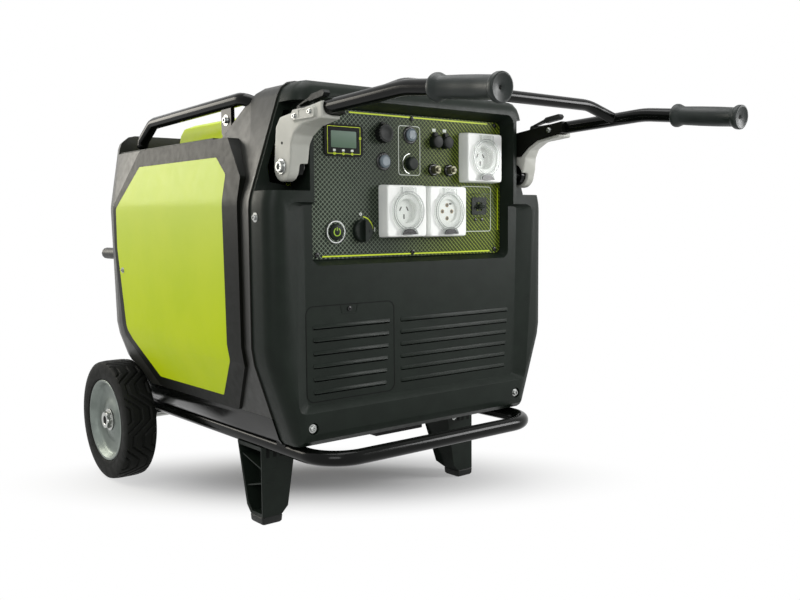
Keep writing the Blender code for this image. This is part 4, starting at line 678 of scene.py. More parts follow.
# A dark disc in the knob's dimple: painted shade in the hole
DIMPLE_X = KNOB.x + 0.0100
KNOB_FACE = touch("engine_switch_knob", (DIMPLE_X, KNOB.y - 0.2, KNOB.z), -OUT)[0].y
DIMPLE_AT = (DIMPLE_X, KNOB_FACE, KNOB.z - 0.0010)
DIMPLE = ((0.0026, -0.0004), (0.0026, 0.0003), (0.0004, 0.0002))
MARK_X = KNOB.x + 0.031
bm = bmesh.new()
flat_ring(bm, on_panel(KNOB.x, KNOB.z), 0.0255, 0.0275, SYMBOL, radians(8), radians(82))
piece("engine_switch_arc", bm, LIME_INK)
turned("engine_switch_dimple", PAINTED_SHADE, DIMPLE_AT, DIMPLE, 18, "black_plastic", "engine_switch")
bm = bmesh.new()
flat_ring(bm, on_panel(KNOB.x - 0.002, KNOB.z + 0.0310), 0.0014, 0.0030, SYMBOL, segments=18)
strip(bm, (MARK_X, KNOB.z - 0.002), (MARK_X, KNOB.z + 0.006), 0.0015)
piece("engine_switch_marks", bm, WHITE_INK)


# Rockers and caps

ROCKER_BEZEL = ((0.0172, 0.0), (0.0172, 0.0012), (0.0150, 0.0028), (0.0132, 0.0028), (0.0132, 0.0))
bm = bmesh.new()
for node in ("eco_switch", "remote_switch"):
    at = middle_of(node)
    lathe(bm, on_panel(at.x, at.z), OUT, ROCKER_BEZEL, 40)
piece("rocker_bezels", bm, LATCH_BLACK)

CAP = middle_of("remote_cap")
bm = bmesh.new()
flat_ring(bm, on_panel(CAP.x, CAP.z), 0.0186, 0.0198, 0.0010, radians(95), radians(262))
piece("remote_cap_collar", bm, LOOKS["zinc"])

DC = middle_of("dc_outlet_cap") - UP * 0.0025
DC_FACE = Vector((DC.x, face_of("dc_outlet_cap"), DC.z))
DC_RIBS = 18
DC_RIB = ((0.0019, -0.0125), (0.0019, -0.0020), (0.0010, -0.0003))
DC_DISH = ((0.0145, 0.0), (0.0140, 0.0008), (0.0110, 0.0008), (0.0100, 0.0003), (0.001, 0.0003))
bm = bmesh.new()
for k in range(DC_RIBS):
    turn = 2 * pi * k / DC_RIBS
    lathe(bm, DC_FACE + (RIGHT * cos(turn) + UP * sin(turn)) * 0.0162, OUT, DC_RIB, 8)
piece("dc_cap_ribs", bm, LATCH_BLACK, "dc_cap")
turned("dc_cap_face", LOOKS["rubber"], DC_FACE, DC_DISH, 32, "rubber", "dc_cap")

# The outlet that the cap hides
OUTLET = on_panel(DC.x, DC.z)
OUTLET_RING = ((0.0150, 0.0), (0.0149, 0.00022), (0.0114, 0.00022), (0.0110, 0.0))
OUTLET_WELL = ((0.0112, 0.0), (0.0112, 0.00008), (0.0024, 0.00008))
CONTACT = ((0.0024, 0.0), (0.0022, 0.00022), (0.0004, 0.00022))
turned("dc_outlet_ring", LATCH_BLACK, OUTLET, OUTLET_RING, 40, "black_plastic", closed=True)
# The dark disc inside the ring is painted shade in the outlet's hole
turned("dc_outlet_well", PAINTED_SHADE, OUTLET, OUTLET_WELL, 40, "black_plastic")
turned("dc_outlet_contact", PIN_BRASS, OUTLET, CONTACT, 20, "brass")


# Parallel jacks and output terminals

JACK_LOW, JACK_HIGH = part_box("parallel_jacks")
JACK_Z = (JACK_LOW.z + JACK_HIGH.z) / 2
JACK_INSET = 0.016
JACK_CAP = ((0.0122, 0.0), (0.0122, 0.0016), (0.0108, 0.0034), (0.0070, 0.0042), (0.0004, 0.0044))
JACK_HALF = 0.0045
TAB_Z = (JACK_Z + 0.009, JACK_Z + 0.0185)
MARK_Z = (JACK_Z + 0.0205, JACK_Z + 0.0265)
lids = bmesh.new()
marks = bmesh.new()
for x in (JACK_LOW.x + JACK_INSET, JACK_HIGH.x - JACK_INSET):
    span = (x - JACK_HALF, x + JACK_HALF)
    lathe(lids, (x, JACK_LOW.y, JACK_Z), OUT, JACK_CAP, 36)
    plate(lids, rounded_path(span, TAB_Z, 0.002), PANEL_Y - 0.0006, 0.007)
    plate(marks, rounded_path(span, MARK_Z, 0.001), PANEL_Y, PRINT)
piece("jack_lids", lids, LOOKS["rubber"])
piece("jack_marks", marks, WHITE_INK)

POST_LOW, POST_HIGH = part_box("output_terminals")
POST_Z = (POST_LOW.z + POST_HIGH.z) / 2
POST_INSET = 0.014
STUD = ((0.0042, 0.0), (0.0042, 0.004), (0.0030, 0.0052), (0.0005, 0.0052))
COLLAR = ((0.0118, 0.0), (0.0118, 0.004), (0.0100, 0.0062), (0.0085, 0.0062), (0.0085, 0.0))
studs = bmesh.new()
collars = bmesh.new()
for x in (POST_LOW.x + POST_INSET, POST_HIGH.x - POST_INSET):
    lathe(studs, (x, POST_LOW.y, POST_Z), OUT, STUD, 18)
    lathe(collars, on_panel(x, POST_Z), OUT, COLLAR, 28)
piece("terminal_studs", studs, LOOKS["brass"])
piece("terminal_collars", collars, LATCH_BLACK)


# Breaker bezel and buttons

BREAK = middle_of("breaker_switch")
BEZEL_HIGH = 0.0022
BEZEL = ((BREAK.x - 0.021, BREAK.x + 0.021), (BREAK.z - 0.017, BREAK.z + 0.019))
HOLE_HALF = 0.0088
HOLE = tuple((middle - HOLE_HALF, middle + HOLE_HALF) for middle in (BREAK.x, BREAK.z))
BUTTON = ((0.0030, 0.0), (0.0028, 0.0014), (0.0005, 0.0018))
bm = bmesh.new()
rows = []
for outer, inner in zip(rounded_path(*BEZEL, 0.004), rounded_path(*HOLE, 0.0015)):
    row = ((*outer, 0.0), (*outer, BEZEL_HIGH), (*inner, BEZEL_HIGH), (*inner, 0.0))
    rows.append([bm.verts.new(on_panel(*point)) for point in row])
for here, there in joined(rows):
    for k in range(3):
        bm.faces.new((here[k], here[k + 1], there[k + 1], there[k]))
piece("breaker_bezel", bm, LOOKS["black_plastic"])
bm = bmesh.new()
for x in (BREAK.x - 0.010, BREAK.x + 0.009):
    lathe(bm, on_panel(x, BREAK.z - 0.027), OUT, BUTTON, 16)
piece("breaker_buttons", bm, LATCH_BLACK)


# Sockets

PIN_SLOTS = ((-0.0085, 0.0045, 30), (0.0085, 0.0045, -30), (0.0, -0.0105, 0))
PIN_SLOT = rounded_path((-0.0013, 0.0013), (-0.0045, 0.0045), 0.0008)
PIN_HOLES = ((0.0, 0.0123), (-0.0123, 0.0), (0.0123, 0.0), (0.0, -0.01353))
PIN_RIM = ((0.0042, 0.0), (0.0042, 0.0005), (0.0030, 0.0005), (0.0028, 0.0001))
PIN_WELL = ((0.0028, 0.0), (0.0026, 0.0004), (0.0004, 0.0004))
PIN_KEY = rounded_path((0.0048, 0.0120), (0.0136, 0.0164), 0.0012)
RING_OUTER = 0.0326
RING_INNER = 0.0225
FACE_DEPTH = {"left": 0.0110, "centre": 0.0050, "upper": 0.0150}
SQUARENESS = 26


def crisp_square(turn):
    """A square with small round corners as a share of its half width."""
    total = abs(cos(turn)) ** SQUARENESS + abs(sin(turn)) ** SQUARENESS
    return total ** (-1 / SQUARENESS)


def build_socket_face(name):
    low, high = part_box(f"{name}_socket")
    centre = Vector(((low.x + high.x) / 2, low.y, (low.z + high.z) / 2))
    half = (high.x - low.x) / 2
    face = -FACE_DEPTH[name]
    profile = (
        (half, low.y - PANEL_Y + 0.0003),
        (half - 0.0010, -0.0040),
        (half - 0.0018, -0.0012),
        (half - 0.0034, 0.0),
        (half - 0.0040, 0.0),
        (RING_OUTER + 0.0026, 0.0),
        (RING_OUTER + 0.0020, 0.0),
        (RING_OUTER + 0.0006, -0.0014),
        (RING_OUTER, -0.0016),
        (RING_OUTER - 0.0012, -0.0004),
        (RING_INNER + 0.0022, -0.0004),
        (RING_INNER + 0.0004, -0.0020),
        (RING_INNER, face),
        (0.0004, face),
    )
    square = {"shaped": range(5), "outline": crisp_square}
    housing = turned(f"{name}_socket_housing", RING_WHITE, centre, profile, 96, "socket_white", **square)
    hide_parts(f"{name}_socket")
    front = centre + OUT * (face + 0.0001)
    pins = bmesh.new()
    if name == "centre":
        metal = bmesh.new()
        for x, z in PIN_HOLES:
            at = front + Vector((x, 0, z))
            lathe(metal, at, OUT, PIN_RIM, 20)
            lathe(pins, at, OUT, PIN_WELL, 20)
        plate(pins, moved(PIN_KEY, front), front.y, 0.0005)
        piece(f"{name}_socket_pins_metal", metal, PIN_BRASS)
    else:
        for x, z, lean in PIN_SLOTS:
            turn = Matrix.Rotation(radians(lean), 4, "Y")
            outline = [front + Vector((x, 0, z)) + turn @ Vector((u, 0, v)) for u, v in PIN_SLOT]
            slab(pins, outline, OUT * 0.0004)
    # Dark plates over the pin slots, holes and key: painted shade
    piece(f"{name}_socket_pins", pins, PIN_PAINTED_SHADE)


FLAP_BRACE = rectangle((-0.0008, 0.0008), (0.0, 0.0115))
FLAP_LINE = rectangle((-0.0125, 0.0125), (0.0, 0.0006))


def half_oval(wide, tall, steps):
    """The upper half of an oval as (x, z) points."""
    turns = [pi * k / steps for k in range(steps + 1)]
    return [(wide * cos(turn), tall * sin(turn)) for turn in turns]


def build_flap_trim(name):
    body = f"{name}_flap"
    low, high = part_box(body)
    centre = Vector(((low.x + high.x) / 2, low.y, middle_of(f"{name}_socket").z))
    bottom = centre - UP * 0.0447
    radius = (high.x - low.x) / 2
    bm = bmesh.new()
    flat_ring(bm, centre, radius - 0.0022, radius - 0.0002, 0.0007, segments=64)
    flat_ring(bm, centre, RING_OUTER - 0.0006, RING_OUTER + 0.0006, 0.0005, segments=64)
    for side, _ in SIDES:
        plate(bm, moved(FLAP_BRACE, centre + Vector((side * 0.0172, 0, 0.0335))), low.y, 0.0006)
    for row in range(3):
        plate(bm, moved(FLAP_LINE, centre + UP * (0.0375 + 0.0026 * row)), low.y, PRINT)
    piece(f"{name}_flap_edges", bm, FLAP_EDGE, body)
    bm = bmesh.new()
    plate(bm, moved(half_oval(0.0165, 0.0108, 16), bottom), low.y, 0.0030)
    piece(f"{name}_flap_latch", bm, LATCH_BLACK, body)
    bm = bmesh.new()
    lip = moved(half_oval(0.0195, 0.0135, 12), bottom)
    for start, end in zip(lip, lip[1:]):
        strip(bm, start, end, 0.0018, low.y - 0.0008, 0.0022)
    piece(f"{name}_flap_lip", bm, FLAP_EDGE, body)


for name in ("left", "centre", "upper"):
    build_socket_face(name)
    build_flap_trim(name)


# Louvre blades in the front cover and the service door

DOOR_LOW, DOOR_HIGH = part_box("service_door")
COVER_LOW, COVER_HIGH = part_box("front_cover")
FACE_Y = DOOR_LOW.y
BLADE_COUNT = 6
BLADE_PITCH = (DOOR_HIGH.z - DOOR_LOW.z - 0.055) / (BLADE_COUNT - 1)
BLADE_LOW = DOOR_LOW.z + 0.016
BLADE_TOP = 0.0046
BLADE_GROWTH = 0.010
BLADE_END = 0.003
END_SHARE = 0.25
LOUVRES = (
    ("door", DOOR_LOW.x + 0.0150, DOOR_HIGH.x - 0.0200, 0.0030, 0.0006),
    ("cover", DOOR_HIGH.x + 0.0160, COVER_HIGH.x - 0.1090, 0.0016, 0.0010),
)
# Dark plates behind the blades: painted shade in the slots of the door and the cover
SHADE_PLATES_X = (
    (DOOR_LOW.x + 0.012, DOOR_HIGH.x - 0.012),
    (DOOR_HIGH.x + 0.014, COVER_HIGH.x - 0.098),
)
SHADE_PLATE_Z = (DOOR_LOW.z + 0.011, DOOR_HIGH.z - 0.031)


def build_louvres(name, left, right, bulge, bottom):
    """A row of blades, each a little longer than the one below."""
    bm = bmesh.new()
    for k in range(BLADE_COUNT):
        z = BLADE_LOW + BLADE_PITCH * k
        end = right + BLADE_GROWTH * k / (BLADE_COUNT - 1)
        shape = (
            (0.0024, z + BLADE_TOP),
            (-0.0006, z + BLADE_TOP + 0.0008),
            (-bulge, z + 0.0022),
            (-bulge - 0.0004, z - bottom),
            (-bulge + 0.0010, z - bottom - 0.0006),
            (0.0030, z - bottom + 0.0016),
        )
        places = (left, left + BLADE_END, end - BLADE_END, end)
        rings = []
        for x, share in zip(places, (END_SHARE, 1.0, 1.0, END_SHARE)):
            ring = [(x, FACE_Y + (y if y > 0 else y * share), height) for y, height in shape]
            rings.append([bm.verts.new(point) for point in ring])
        skin(bm, rings)
    piece(f"{name}_louvre_blades", bm, LOOKS["black_plastic"])


for row in LOUVRES:
    build_louvres(*row)
bm = bmesh.new()
for x in SHADE_PLATES_X:
    plate(bm, rectangle(x, SHADE_PLATE_Z), FACE_Y + 0.0098, -0.0008)
piece("louvre_painted_shade", bm, PAINTED_SHADE)


# Door screw tab

TAB = Vector((-0.170, FACE_Y, DOOR_HIGH.z))
TAB_EDGE = (
    (0.0195, 0.0), (0.0165, -0.0150), (0.0150, -0.0165),
    (-0.0150, -0.0165), (-0.0165, -0.0150), (-0.0195, 0.0),
)
bm = bmesh.new()
edge = moved(TAB_EDGE, TAB)
for start, end in zip(edge, edge[1:]):
    strip(bm, start, end, 0.0010, FACE_Y, 0.0006)
piece("door_tab_edges", bm, LOOKS["black_plastic"])
screw("door_screw", TAB - UP * 0.0085, 0.0046)


# Bolts on the body


def bolt(name, centre, axis, radius, washer, body="generator", stand=0.0):
    """A hex-socket bolt on a washer, which may stand on a sleeve."""
    bm = bmesh.new()
    rim = radius * washer
    lathe(bm, centre, axis, ((rim, -stand), (rim, radius * 0.22), (radius, radius * 0.24)), 28)
    profile = (
        (radius, radius * 0.2),
        (radius, radius * 0.85),
        (radius * 0.86, radius),
        (radius * 0.55, radius),
        (radius * 0.50, radius * 0.45),
        (radius * 0.04, radius * 0.42),
    )
    lathe(bm, centre, axis, profile, 24, shaped=(3, 4), outline=hexagon)
    piece(name, bm, CHROME, body)


BOLT_FLOOR = FACE_Y + 0.004
BOLT_STAND = 0.0125
BODY_BOLTS = (
    ("flank", "front_cover", (0.010, 0.590), 0.0006, 0.0050, 1.7),
    ("panel", "{}_side_panel", (0.576, 0.479), 0.0004, 0.0040, 1.6),
    ("rail", "{}_top_rail", (0.208, 0.777), 0.0004, 0.0062, 1.7),
)
for side, word in SIDES:
    place = (side * (COVER_HIGH.x - 0.0856), BOLT_FLOOR - BOLT_STAND, COVER_LOW.z + 0.036)
    bolt(f"{word}_cover_bolt", place, OUT, 0.0054, 1.5, stand=BOLT_STAND)
for side, word in SIDES:
    for name, node, (y, z), sunk, radius, washer in BODY_BOLTS:
        point, normal = touch(node.format(word), (side, PANEL_Y + y, z), (-side, 0, 0))
        bolt(f"{word}_{name}_bolt", point - normal * sunk, normal, radius, washer)


# Front legs: open on their outer side, with two ribs, chamfered at the foot

LEG_WALL = 0.0055
LEG_LID = 0.008
LEG_SOFT = 0.0012
LEG_CHAMFER = 0.0140
LEG_FRONT = PANEL_Y + 0.121
LEG_REARS = (0.168, 0.182, 0.214)
LEG_WIDTHS = (0.044, 0.058, 0.078)
LEG_POCKET = 0.034
LEG_RIBS = (((1.0, 0.83), (0.0, 0.66)), ((0.0, 0.49), (1.0, 0.36)))
LEG_RIB_HALF = 0.0013
LEG_RIB_HIGH = 0.030
LEG_SLOTS = (0.10, 0.30, 0.48)
SLOT_HALF = 0.0034
SLOT_SPAN = (0.84, 0.975)
SLOT_Y = LEG_FRONT + 0.0006
FOOT_RIM = 0.0008


def build_leg(side, word):
    low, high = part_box(f"{word}_leg")
    outer = max(abs(low.x), abs(high.x))
    bottom, top = low.z, high.z - 0.0005
    heights = (bottom, bottom + LEG_CHAMFER, top)

    def at(share, up):
        """A place on the leg's side: share from front to rear, up from foot to top."""
        z = bottom + (top - bottom) * up
        climb = (z - heights[1]) / (top - heights[1])
        rear = PANEL_Y + LEG_REARS[1] + (LEG_REARS[2] - LEG_REARS[1]) * climb
        return LEG_FRONT + (rear - LEG_FRONT) * share, z

    sections = list(zip(heights, LEG_REARS, LEG_WIDTHS))
    outline = [(LEG_FRONT, z, width, 1) for z, _, width in sections]
    outline += [(PANEL_Y + rear, z, width, -1) for z, rear, width in reversed(sections)]
    floor_x = side * (outer - LEG_POCKET)
    columns = []
    for y, z, width, way in outline:
        inset = (y + way * LEG_WALL, z + (LEG_WALL if z < (bottom + top) / 2 else -LEG_LID))
        inner = side * (outer - width)
        columns.append((
            (floor_x, *inset),
            (side * (outer - LEG_SOFT), *inset),
            (side * outer, y + way * LEG_SOFT, z),
            (side * (outer - LEG_SOFT), y, z),
            (inner + side * LEG_SOFT, y, z),
            (inner, y + way * LEG_SOFT, z),
        ))
    bm = bmesh.new()
    skin(bm, [[bm.verts.new(point) for point in ring] for ring in zip(*columns)])
    for ends in LEG_RIBS:
        first, last = (Vector((floor_x, *at(*end))) for end in ends)
        bar(bm, first, last, LEG_RIB_HALF, RIGHT * side * LEG_RIB_HIGH)
    leg = piece(f"{word}_ribbed_leg", bm, LOOKS["black_plastic"], angle=25)
    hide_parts(f"{word}_leg")
    # Dark plates where the leg's slots are: painted shade in them
    bm = bmesh.new()
    slot_z = [at(0.0, up)[1] for up in SLOT_SPAN]
    for share in LEG_SLOTS:
        x = side * (outer - LEG_WIDTHS[2] * share - 0.006)
        plate(bm, rectangle((x - SLOT_HALF, x + SLOT_HALF), slot_z), SLOT_Y, 0.0010)
    piece(f"{word}_leg_slots", bm, PAINTED_SHADE)
    seat = (side * (outer - LEG_WIDTHS[2] * 0.72), SLOT_Y, at(0.0, 0.91)[1])
    bolt(f"{word}_leg_bolt", seat, OUT, 0.0042, 1.5)


def build_foot(side, word):
    """A straight rubber block under the leg."""
    outer = max(abs(edge.x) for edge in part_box(f"{word}_leg"))
    bottom, top = (edge.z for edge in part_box(f"{word}_foot"))
    x = sorted((side * (outer + FOOT_RIM), side * (outer - LEG_WIDTHS[0] - FOOT_RIM)))
    y = (LEG_FRONT - FOOT_RIM, PANEL_Y + LEG_REARS[0] + FOOT_RIM)
    bm = bmesh.new()
    rings = []
    for z, inset in ((bottom, 0.0030), (bottom + 0.0030, 0.0008), (top - 0.0016, 0.0), (top, 0.0012)):
        path = rounded_path(*shrunk(x, y, inset), 0.004)
        rings.append([bm.verts.new((*point, z)) for point in path])
    skin(bm, rings)
    foot = piece(f"{word}_rubber_foot", bm, LOOKS["rubber"])
    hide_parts(f"{word}_foot")


for side, word in SIDES:
    build_leg(side, word)
    build_foot(side, word)


# Base tube, smooth round its bends

TUBE_RADIUS = 0.0142
TUBE_BENDS = (0.045, 0.045, 0.070, 0.070)
TUBE_SIDES = 28
TUBE_HALF_X = 0.265
TUBE_Z = 0.163


def build_base_tube():
    low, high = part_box("base_frame")
    x = (-TUBE_HALF_X, TUBE_HALF_X)
    y = (low.y + TUBE_RADIUS, high.y - TUBE_RADIUS)
    path = [Vector((*point, TUBE_Z)) for point in rounded_path(x, y, TUBE_BENDS, 14)]
    bm = bmesh.new()
    rings = []
    for before, at, after in zip(path[-1:] + path[:-1], path, path[1:] + path[:1]):
        outward = (after - before).normalized().cross(UP)
        ring = []
        for k in range(TUBE_SIDES):
            turn = 2 * pi * k / TUBE_SIDES
            ring.append(bm.verts.new(at + (outward * cos(turn) + UP * sin(turn)) * TUBE_RADIUS))
        rings.append(ring)
    skin(bm, rings, closed=True)
    piece("base_tube", bm, LOOKS["black_steel"], angle=60)


build_base_tube()


# Handle arms: the castings, with the points that move and where they go

ARM_SHIFTS = (
    ((-0.0855, 0.7356), (-0.0850, 0.7400)),
    ((-0.0655, 0.7226), (-0.0600, 0.7264)),
    ((-0.0495, 0.7036), (-0.0492, 0.7130)),
)
NEAR = 0.0008


def build_casting(word):
    bm = bmesh.new()
    bm.from_mesh(NODES[f"{word}_handle_arm"].data)
    bmesh.ops.remove_doubles(bm, verts=bm.verts, dist=WELD)
    for vert in bm.verts:
        for (y, z), (new_y, new_z) in ARM_SHIFTS:
            if hypot(vert.co.y - PANEL_Y - y, vert.co.z - z) < NEAR:
                vert.co.y = PANEL_Y + new_y
                vert.co.z = new_z
                break
    casting = piece(f"{word}_arm_casting", bm, LOOKS["cast_grey"], "handle")
    round_casting(casting)
    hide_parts(f"{word}_handle_arm")


for _, word in SIDES:
    build_casting(word)


# Handle arms: pivot bolts, boss bolts and the shallow recess between them

BOSS_BOLTS = ((-0.0645, 0.7580), (-0.1105, 0.7612))
BOSS_PLATE = ((-0.1220, -0.0550), (0.7510, 0.7690))
BOSS_RECESS = ((-0.0985, -0.0765), (0.7540, 0.7665))
BOSS_RINGS = (
    (BOSS_PLATE, 0.0, 0.0055, -0.0030),
    (BOSS_PLATE, 0.0, 0.0055, 0.0004),
    (BOSS_PLATE, 0.0008, 0.0050, 0.0012),
    (BOSS_RECESS, 0.0, 0.0020, 0.0012),
    (BOSS_RECESS, 0.0004, 0.0016, 0.0002),
)
ARM_HOLE_AT = (PANEL_Y - 0.018, 0.717)
ARM_HOLE = ((0.0026, 0.0), (0.0026, 0.0008), (0.0004, 0.0007))
INNER_BOLT = (PANEL_Y - 0.1161, 0.7639)


def build_arm_details(side, word):
    outward = RIGHT * side
    pivot_low, pivot_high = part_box(f"{word}_pivot_bolt")
    centre = (pivot_low + pivot_high) / 2
    inner, outer = sorted((abs(pivot_low.x), abs(pivot_high.x)))
    seat = outer - 0.0070
    profile = (
        (0.0085, inner), (0.0085, inner + 0.009), (0.0048, inner + 0.009), (0.0048, seat),
        (0.0135, seat), (0.0140, seat + 0.0006), (0.0140, seat + 0.0014), (0.0134, seat + 0.0020),
        (0.0102, seat + 0.0020), (0.0100, seat + 0.0060), (0.0088, seat + 0.0070),
        (0.0060, seat + 0.0070), (0.0056, seat + 0.0030), (0.0005, seat + 0.0028),
    )
    hollow = {"axis": outward, "shaped": (11, 12), "outline": hexagon}
    axis_at = (0, centre.y, centre.z)
    head = turned(f"{word}_pivot_bolt_head", CHROME, axis_at, profile, 36, "zinc", "handle", **hollow)
    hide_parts(f"{word}_pivot_bolt")
    face = max(abs(edge.x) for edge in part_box(f"{word}_handle_arm"))
    for number, (y, z) in enumerate(BOSS_BOLTS, 1):
        place = (side * (face + 0.0008), PANEL_Y + y, z)
        bolt(f"{word}_boss_bolt_{number}", place, outward, 0.0040, 1.25, "handle")
    bm = bmesh.new()
    rings = []
    for spans, inset, corner, out in BOSS_RINGS:
        path = rounded_path(*shrunk(*spans, inset), corner)
        rings.append([bm.verts.new((side * (face + out), PANEL_Y + y, z)) for y, z in path])
    skin(bm, rings)
    piece(f"{word}_boss_plate", bm, LOOKS["cast_grey"], "handle")
    # A dark disc sunk in the arm: painted shade in its hole
    point, normal = touch(f"{word}_handle_arm", (side, *ARM_HOLE_AT), -outward)
    hole_at = point - normal * 0.0005
    turned(f"{word}_arm_hole", PAINTED_SHADE, hole_at, ARM_HOLE, 18, "cast_grey", "handle", normal)
    inner_face = min(abs(edge.x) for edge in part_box(f"{word}_arm_cover"))
    place = (side * (inner_face + 0.0004), *INNER_BOLT)
    bolt(f"{word}_inner_bolt", place, -outward, 0.0044, 1.25, "handle")


for side, word in SIDES:
    build_arm_details(side, word)


# Grips with a dished end

GRIP_FLANGE = 0.0208
GRIP_BARREL = 0.0168
GRIP_LENGTH = 0.132
GRIP_END = (0.2895, -0.527, 0.7527)
GRIP_BEND = (0.2895, -0.330, 0.7757)
GRIP_HOLE = ((0.0025, 0.0070), (0.0025, 0.0054), (0.0003, 0.0054))


def grip_profile():
    """The grip's outline from the hole in its end to its rear, as (radius, along) pairs."""
    flange, barrel, length = GRIP_FLANGE, GRIP_BARREL, GRIP_LENGTH
    dish = ((0.0024, 0.0075), (0.0026, 0.0050), (0.0036, 0.0044), (0.0080, 0.0036), (0.0140, 0.0020))
    return (
        *dish,
        (flange - 0.0034, 0.0006), (flange - 0.0018, 0.0), (flange - 0.0004, 0.0010),
        (flange, 0.0028), (flange - 0.0001, 0.0075), (flange - 0.0010, 0.0100),
        (barrel + 0.0008, 0.0130), (barrel - 0.0004, 0.0155), (barrel + 0.0002, length * 0.35),
        (barrel + 0.0002, length * 0.60), (barrel - 0.0004, length - 0.0185),
        (barrel + 0.0008, length - 0.0150), (flange - 0.0012, length - 0.0100),
        (flange - 0.0001, length - 0.0070), (flange - 0.0001, length - 0.0030),
        (flange - 0.0010, length - 0.0008), (flange - 0.0026, length), (0.0126, length),
    )


def build_grip(side, word):
    end, bend = (Vector((side * x, PANEL_Y + y, z)) for x, y, z in (GRIP_END, GRIP_BEND))
    rest = ("rubber", "handle", bend - end)
    grip = turned(f"{word}_grip_rubber", GRIP, end, grip_profile(), 56, *rest, angle=60)
    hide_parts(f"{word}_grip")
    # A dark disc down in the end's hole: painted shade
    turned(f"{word}_grip_hole", PAINTED_SHADE, end, GRIP_HOLE, 18, *rest)


for side, word in SIDES:
    build_grip(side, word)


# Wheels: treaded tyres, pressed rims and axle nuts

AXLE = middle_of("axle")
AXLE_AT = (0, AXLE.y, AXLE.z)
TYRE_RADIUS = 0.135
TYRE_HALF = 0.036
BEAD_RADIUS = 0.0928
WHEEL_OUTER = max(abs(edge.x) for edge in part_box("left_tyre"))
RIM_RADIUS = 0.0925
RIM_HUB = 0.0104
RIM_LIP = max(abs(edge.x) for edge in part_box("left_rim"))
RIM_INNER = min(abs(edge.x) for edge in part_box("left_rim"))
TREAD_HALF = 0.0320
TREAD_POINTS = 40
TREAD_PERIODS = 7
TREAD_STEPS = 68
TREAD_DROP = 0.0022
ZIGZAG_REACH = 0.0200
ZIGZAG_STEEP = 1.70
ZIGZAG_SPACING = 0.0215
ZIGZAG_LEAN = 0.72
GROOVE_DEPTH = 0.0030
GROOVE_HALF = 0.0011
GROOVE_EDGE = 0.0015


def ease(share):
    share = max(0.0, min(1.0, share))
    return share * share * (3 - 2 * share)


def tread_depth(across_at, along):
    """How deep the tread is cut: across in metres from the middle, along in zigzag periods."""
    wave = (abs(along % 1.0 - 0.5) * 4 - 1) * ZIGZAG_STEEP
    offset = across_at - ZIGZAG_REACH * max(-1.0, min(1.0, wave))
    from_line = (offset / ZIGZAG_SPACING + 0.5) % 1.0 - 0.5
    gap = abs(from_line) * ZIGZAG_SPACING * ZIGZAG_LEAN
    return GROOVE_DEPTH * ease(1 - (gap - GROOVE_HALF) / GROOVE_EDGE)


def tyre_section():
    """Half sidewall, tread and half sidewall as (across, radius, tread or not)."""
    edge, bead = -TYRE_HALF, BEAD_RADIUS
    wall = (
        (edge + 0.0050, bead), (edge + 0.0020, bead + 0.0020), (edge + 0.0006, bead + 0.0060),
        (edge + 0.0012, bead + 0.0085), (edge, bead + 0.0120), (edge, bead + 0.0220),
        (edge + 0.0003, TYRE_RADIUS - 0.0130), (edge + 0.0014, TYRE_RADIUS - 0.0075),
        (edge + 0.0026, TYRE_RADIUS - 0.0042),
    )
    section = [(x, radius, False) for x, radius in wall]
    for k in range(TREAD_POINTS + 1):
        x = TREAD_HALF * (2 * k / TREAD_POINTS - 1)
        crown = TYRE_RADIUS - TREAD_DROP * abs(x / TREAD_HALF) ** 4
        section.append((x, crown, True))
    section += [(-x, radius, False) for x, radius in reversed(wall)]
    return section


def build_tyre(side, word):
    bm = bmesh.new()
    section = tyre_section()
    count = TREAD_PERIODS * TREAD_STEPS
    middle = side * (WHEEL_OUTER - TYRE_HALF)
    rings = []
    for k in range(count):
        turn = 2 * pi * k / count
        ring = []
        for x, radius, tread in section:
            if tread:
                radius -= tread_depth(x, k / TREAD_STEPS)
            at = (middle + side * x, AXLE.y + radius * sin(turn), AXLE.z + radius * cos(turn))
            ring.append(bm.verts.new(at))
        rings.append(ring)
    skin(bm, rings, closed=True)
    tyre = piece(f"{word}_treaded_tyre", bm, LOOKS["tyre"], f"{word}_wheel", angle=50)
    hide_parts(f"{word}_tyre")


def build_rim(side, word):
    lip, edge, hub = RIM_LIP, RIM_RADIUS, RIM_HUB
    profile = (
        (edge - 0.0010, RIM_INNER), (edge, RIM_INNER + 0.0020), (edge, lip - 0.0014),
        (edge - 0.0012, lip), (edge - 0.0040, lip), (edge - 0.0062, lip - 0.0014),
        (edge - 0.0120, lip - 0.0118), (edge - 0.0150, lip - 0.0150), (edge - 0.0210, lip - 0.0168),
        (0.0560, lip - 0.0188), (0.0500, lip - 0.0184), (0.0440, lip - 0.0158),
        (0.0350, lip - 0.0128), (0.0300, lip - 0.0118), (hub, lip - 0.0112), (hub, lip - 0.0480),
        (0.0200, lip - 0.0480), (0.0260, lip - 0.0280), (0.0520, lip - 0.0270),
        (edge - 0.0110, lip - 0.0270), (edge - 0.0080, RIM_INNER),
    )
    rest = ("rim_steel", f"{word}_wheel", RIGHT * side)
    rim = turned(f"{word}_pressed_rim", LOOKS["rim_steel"], AXLE_AT, profile, 96, *rest, closed=True)
    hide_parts(f"{word}_rim")


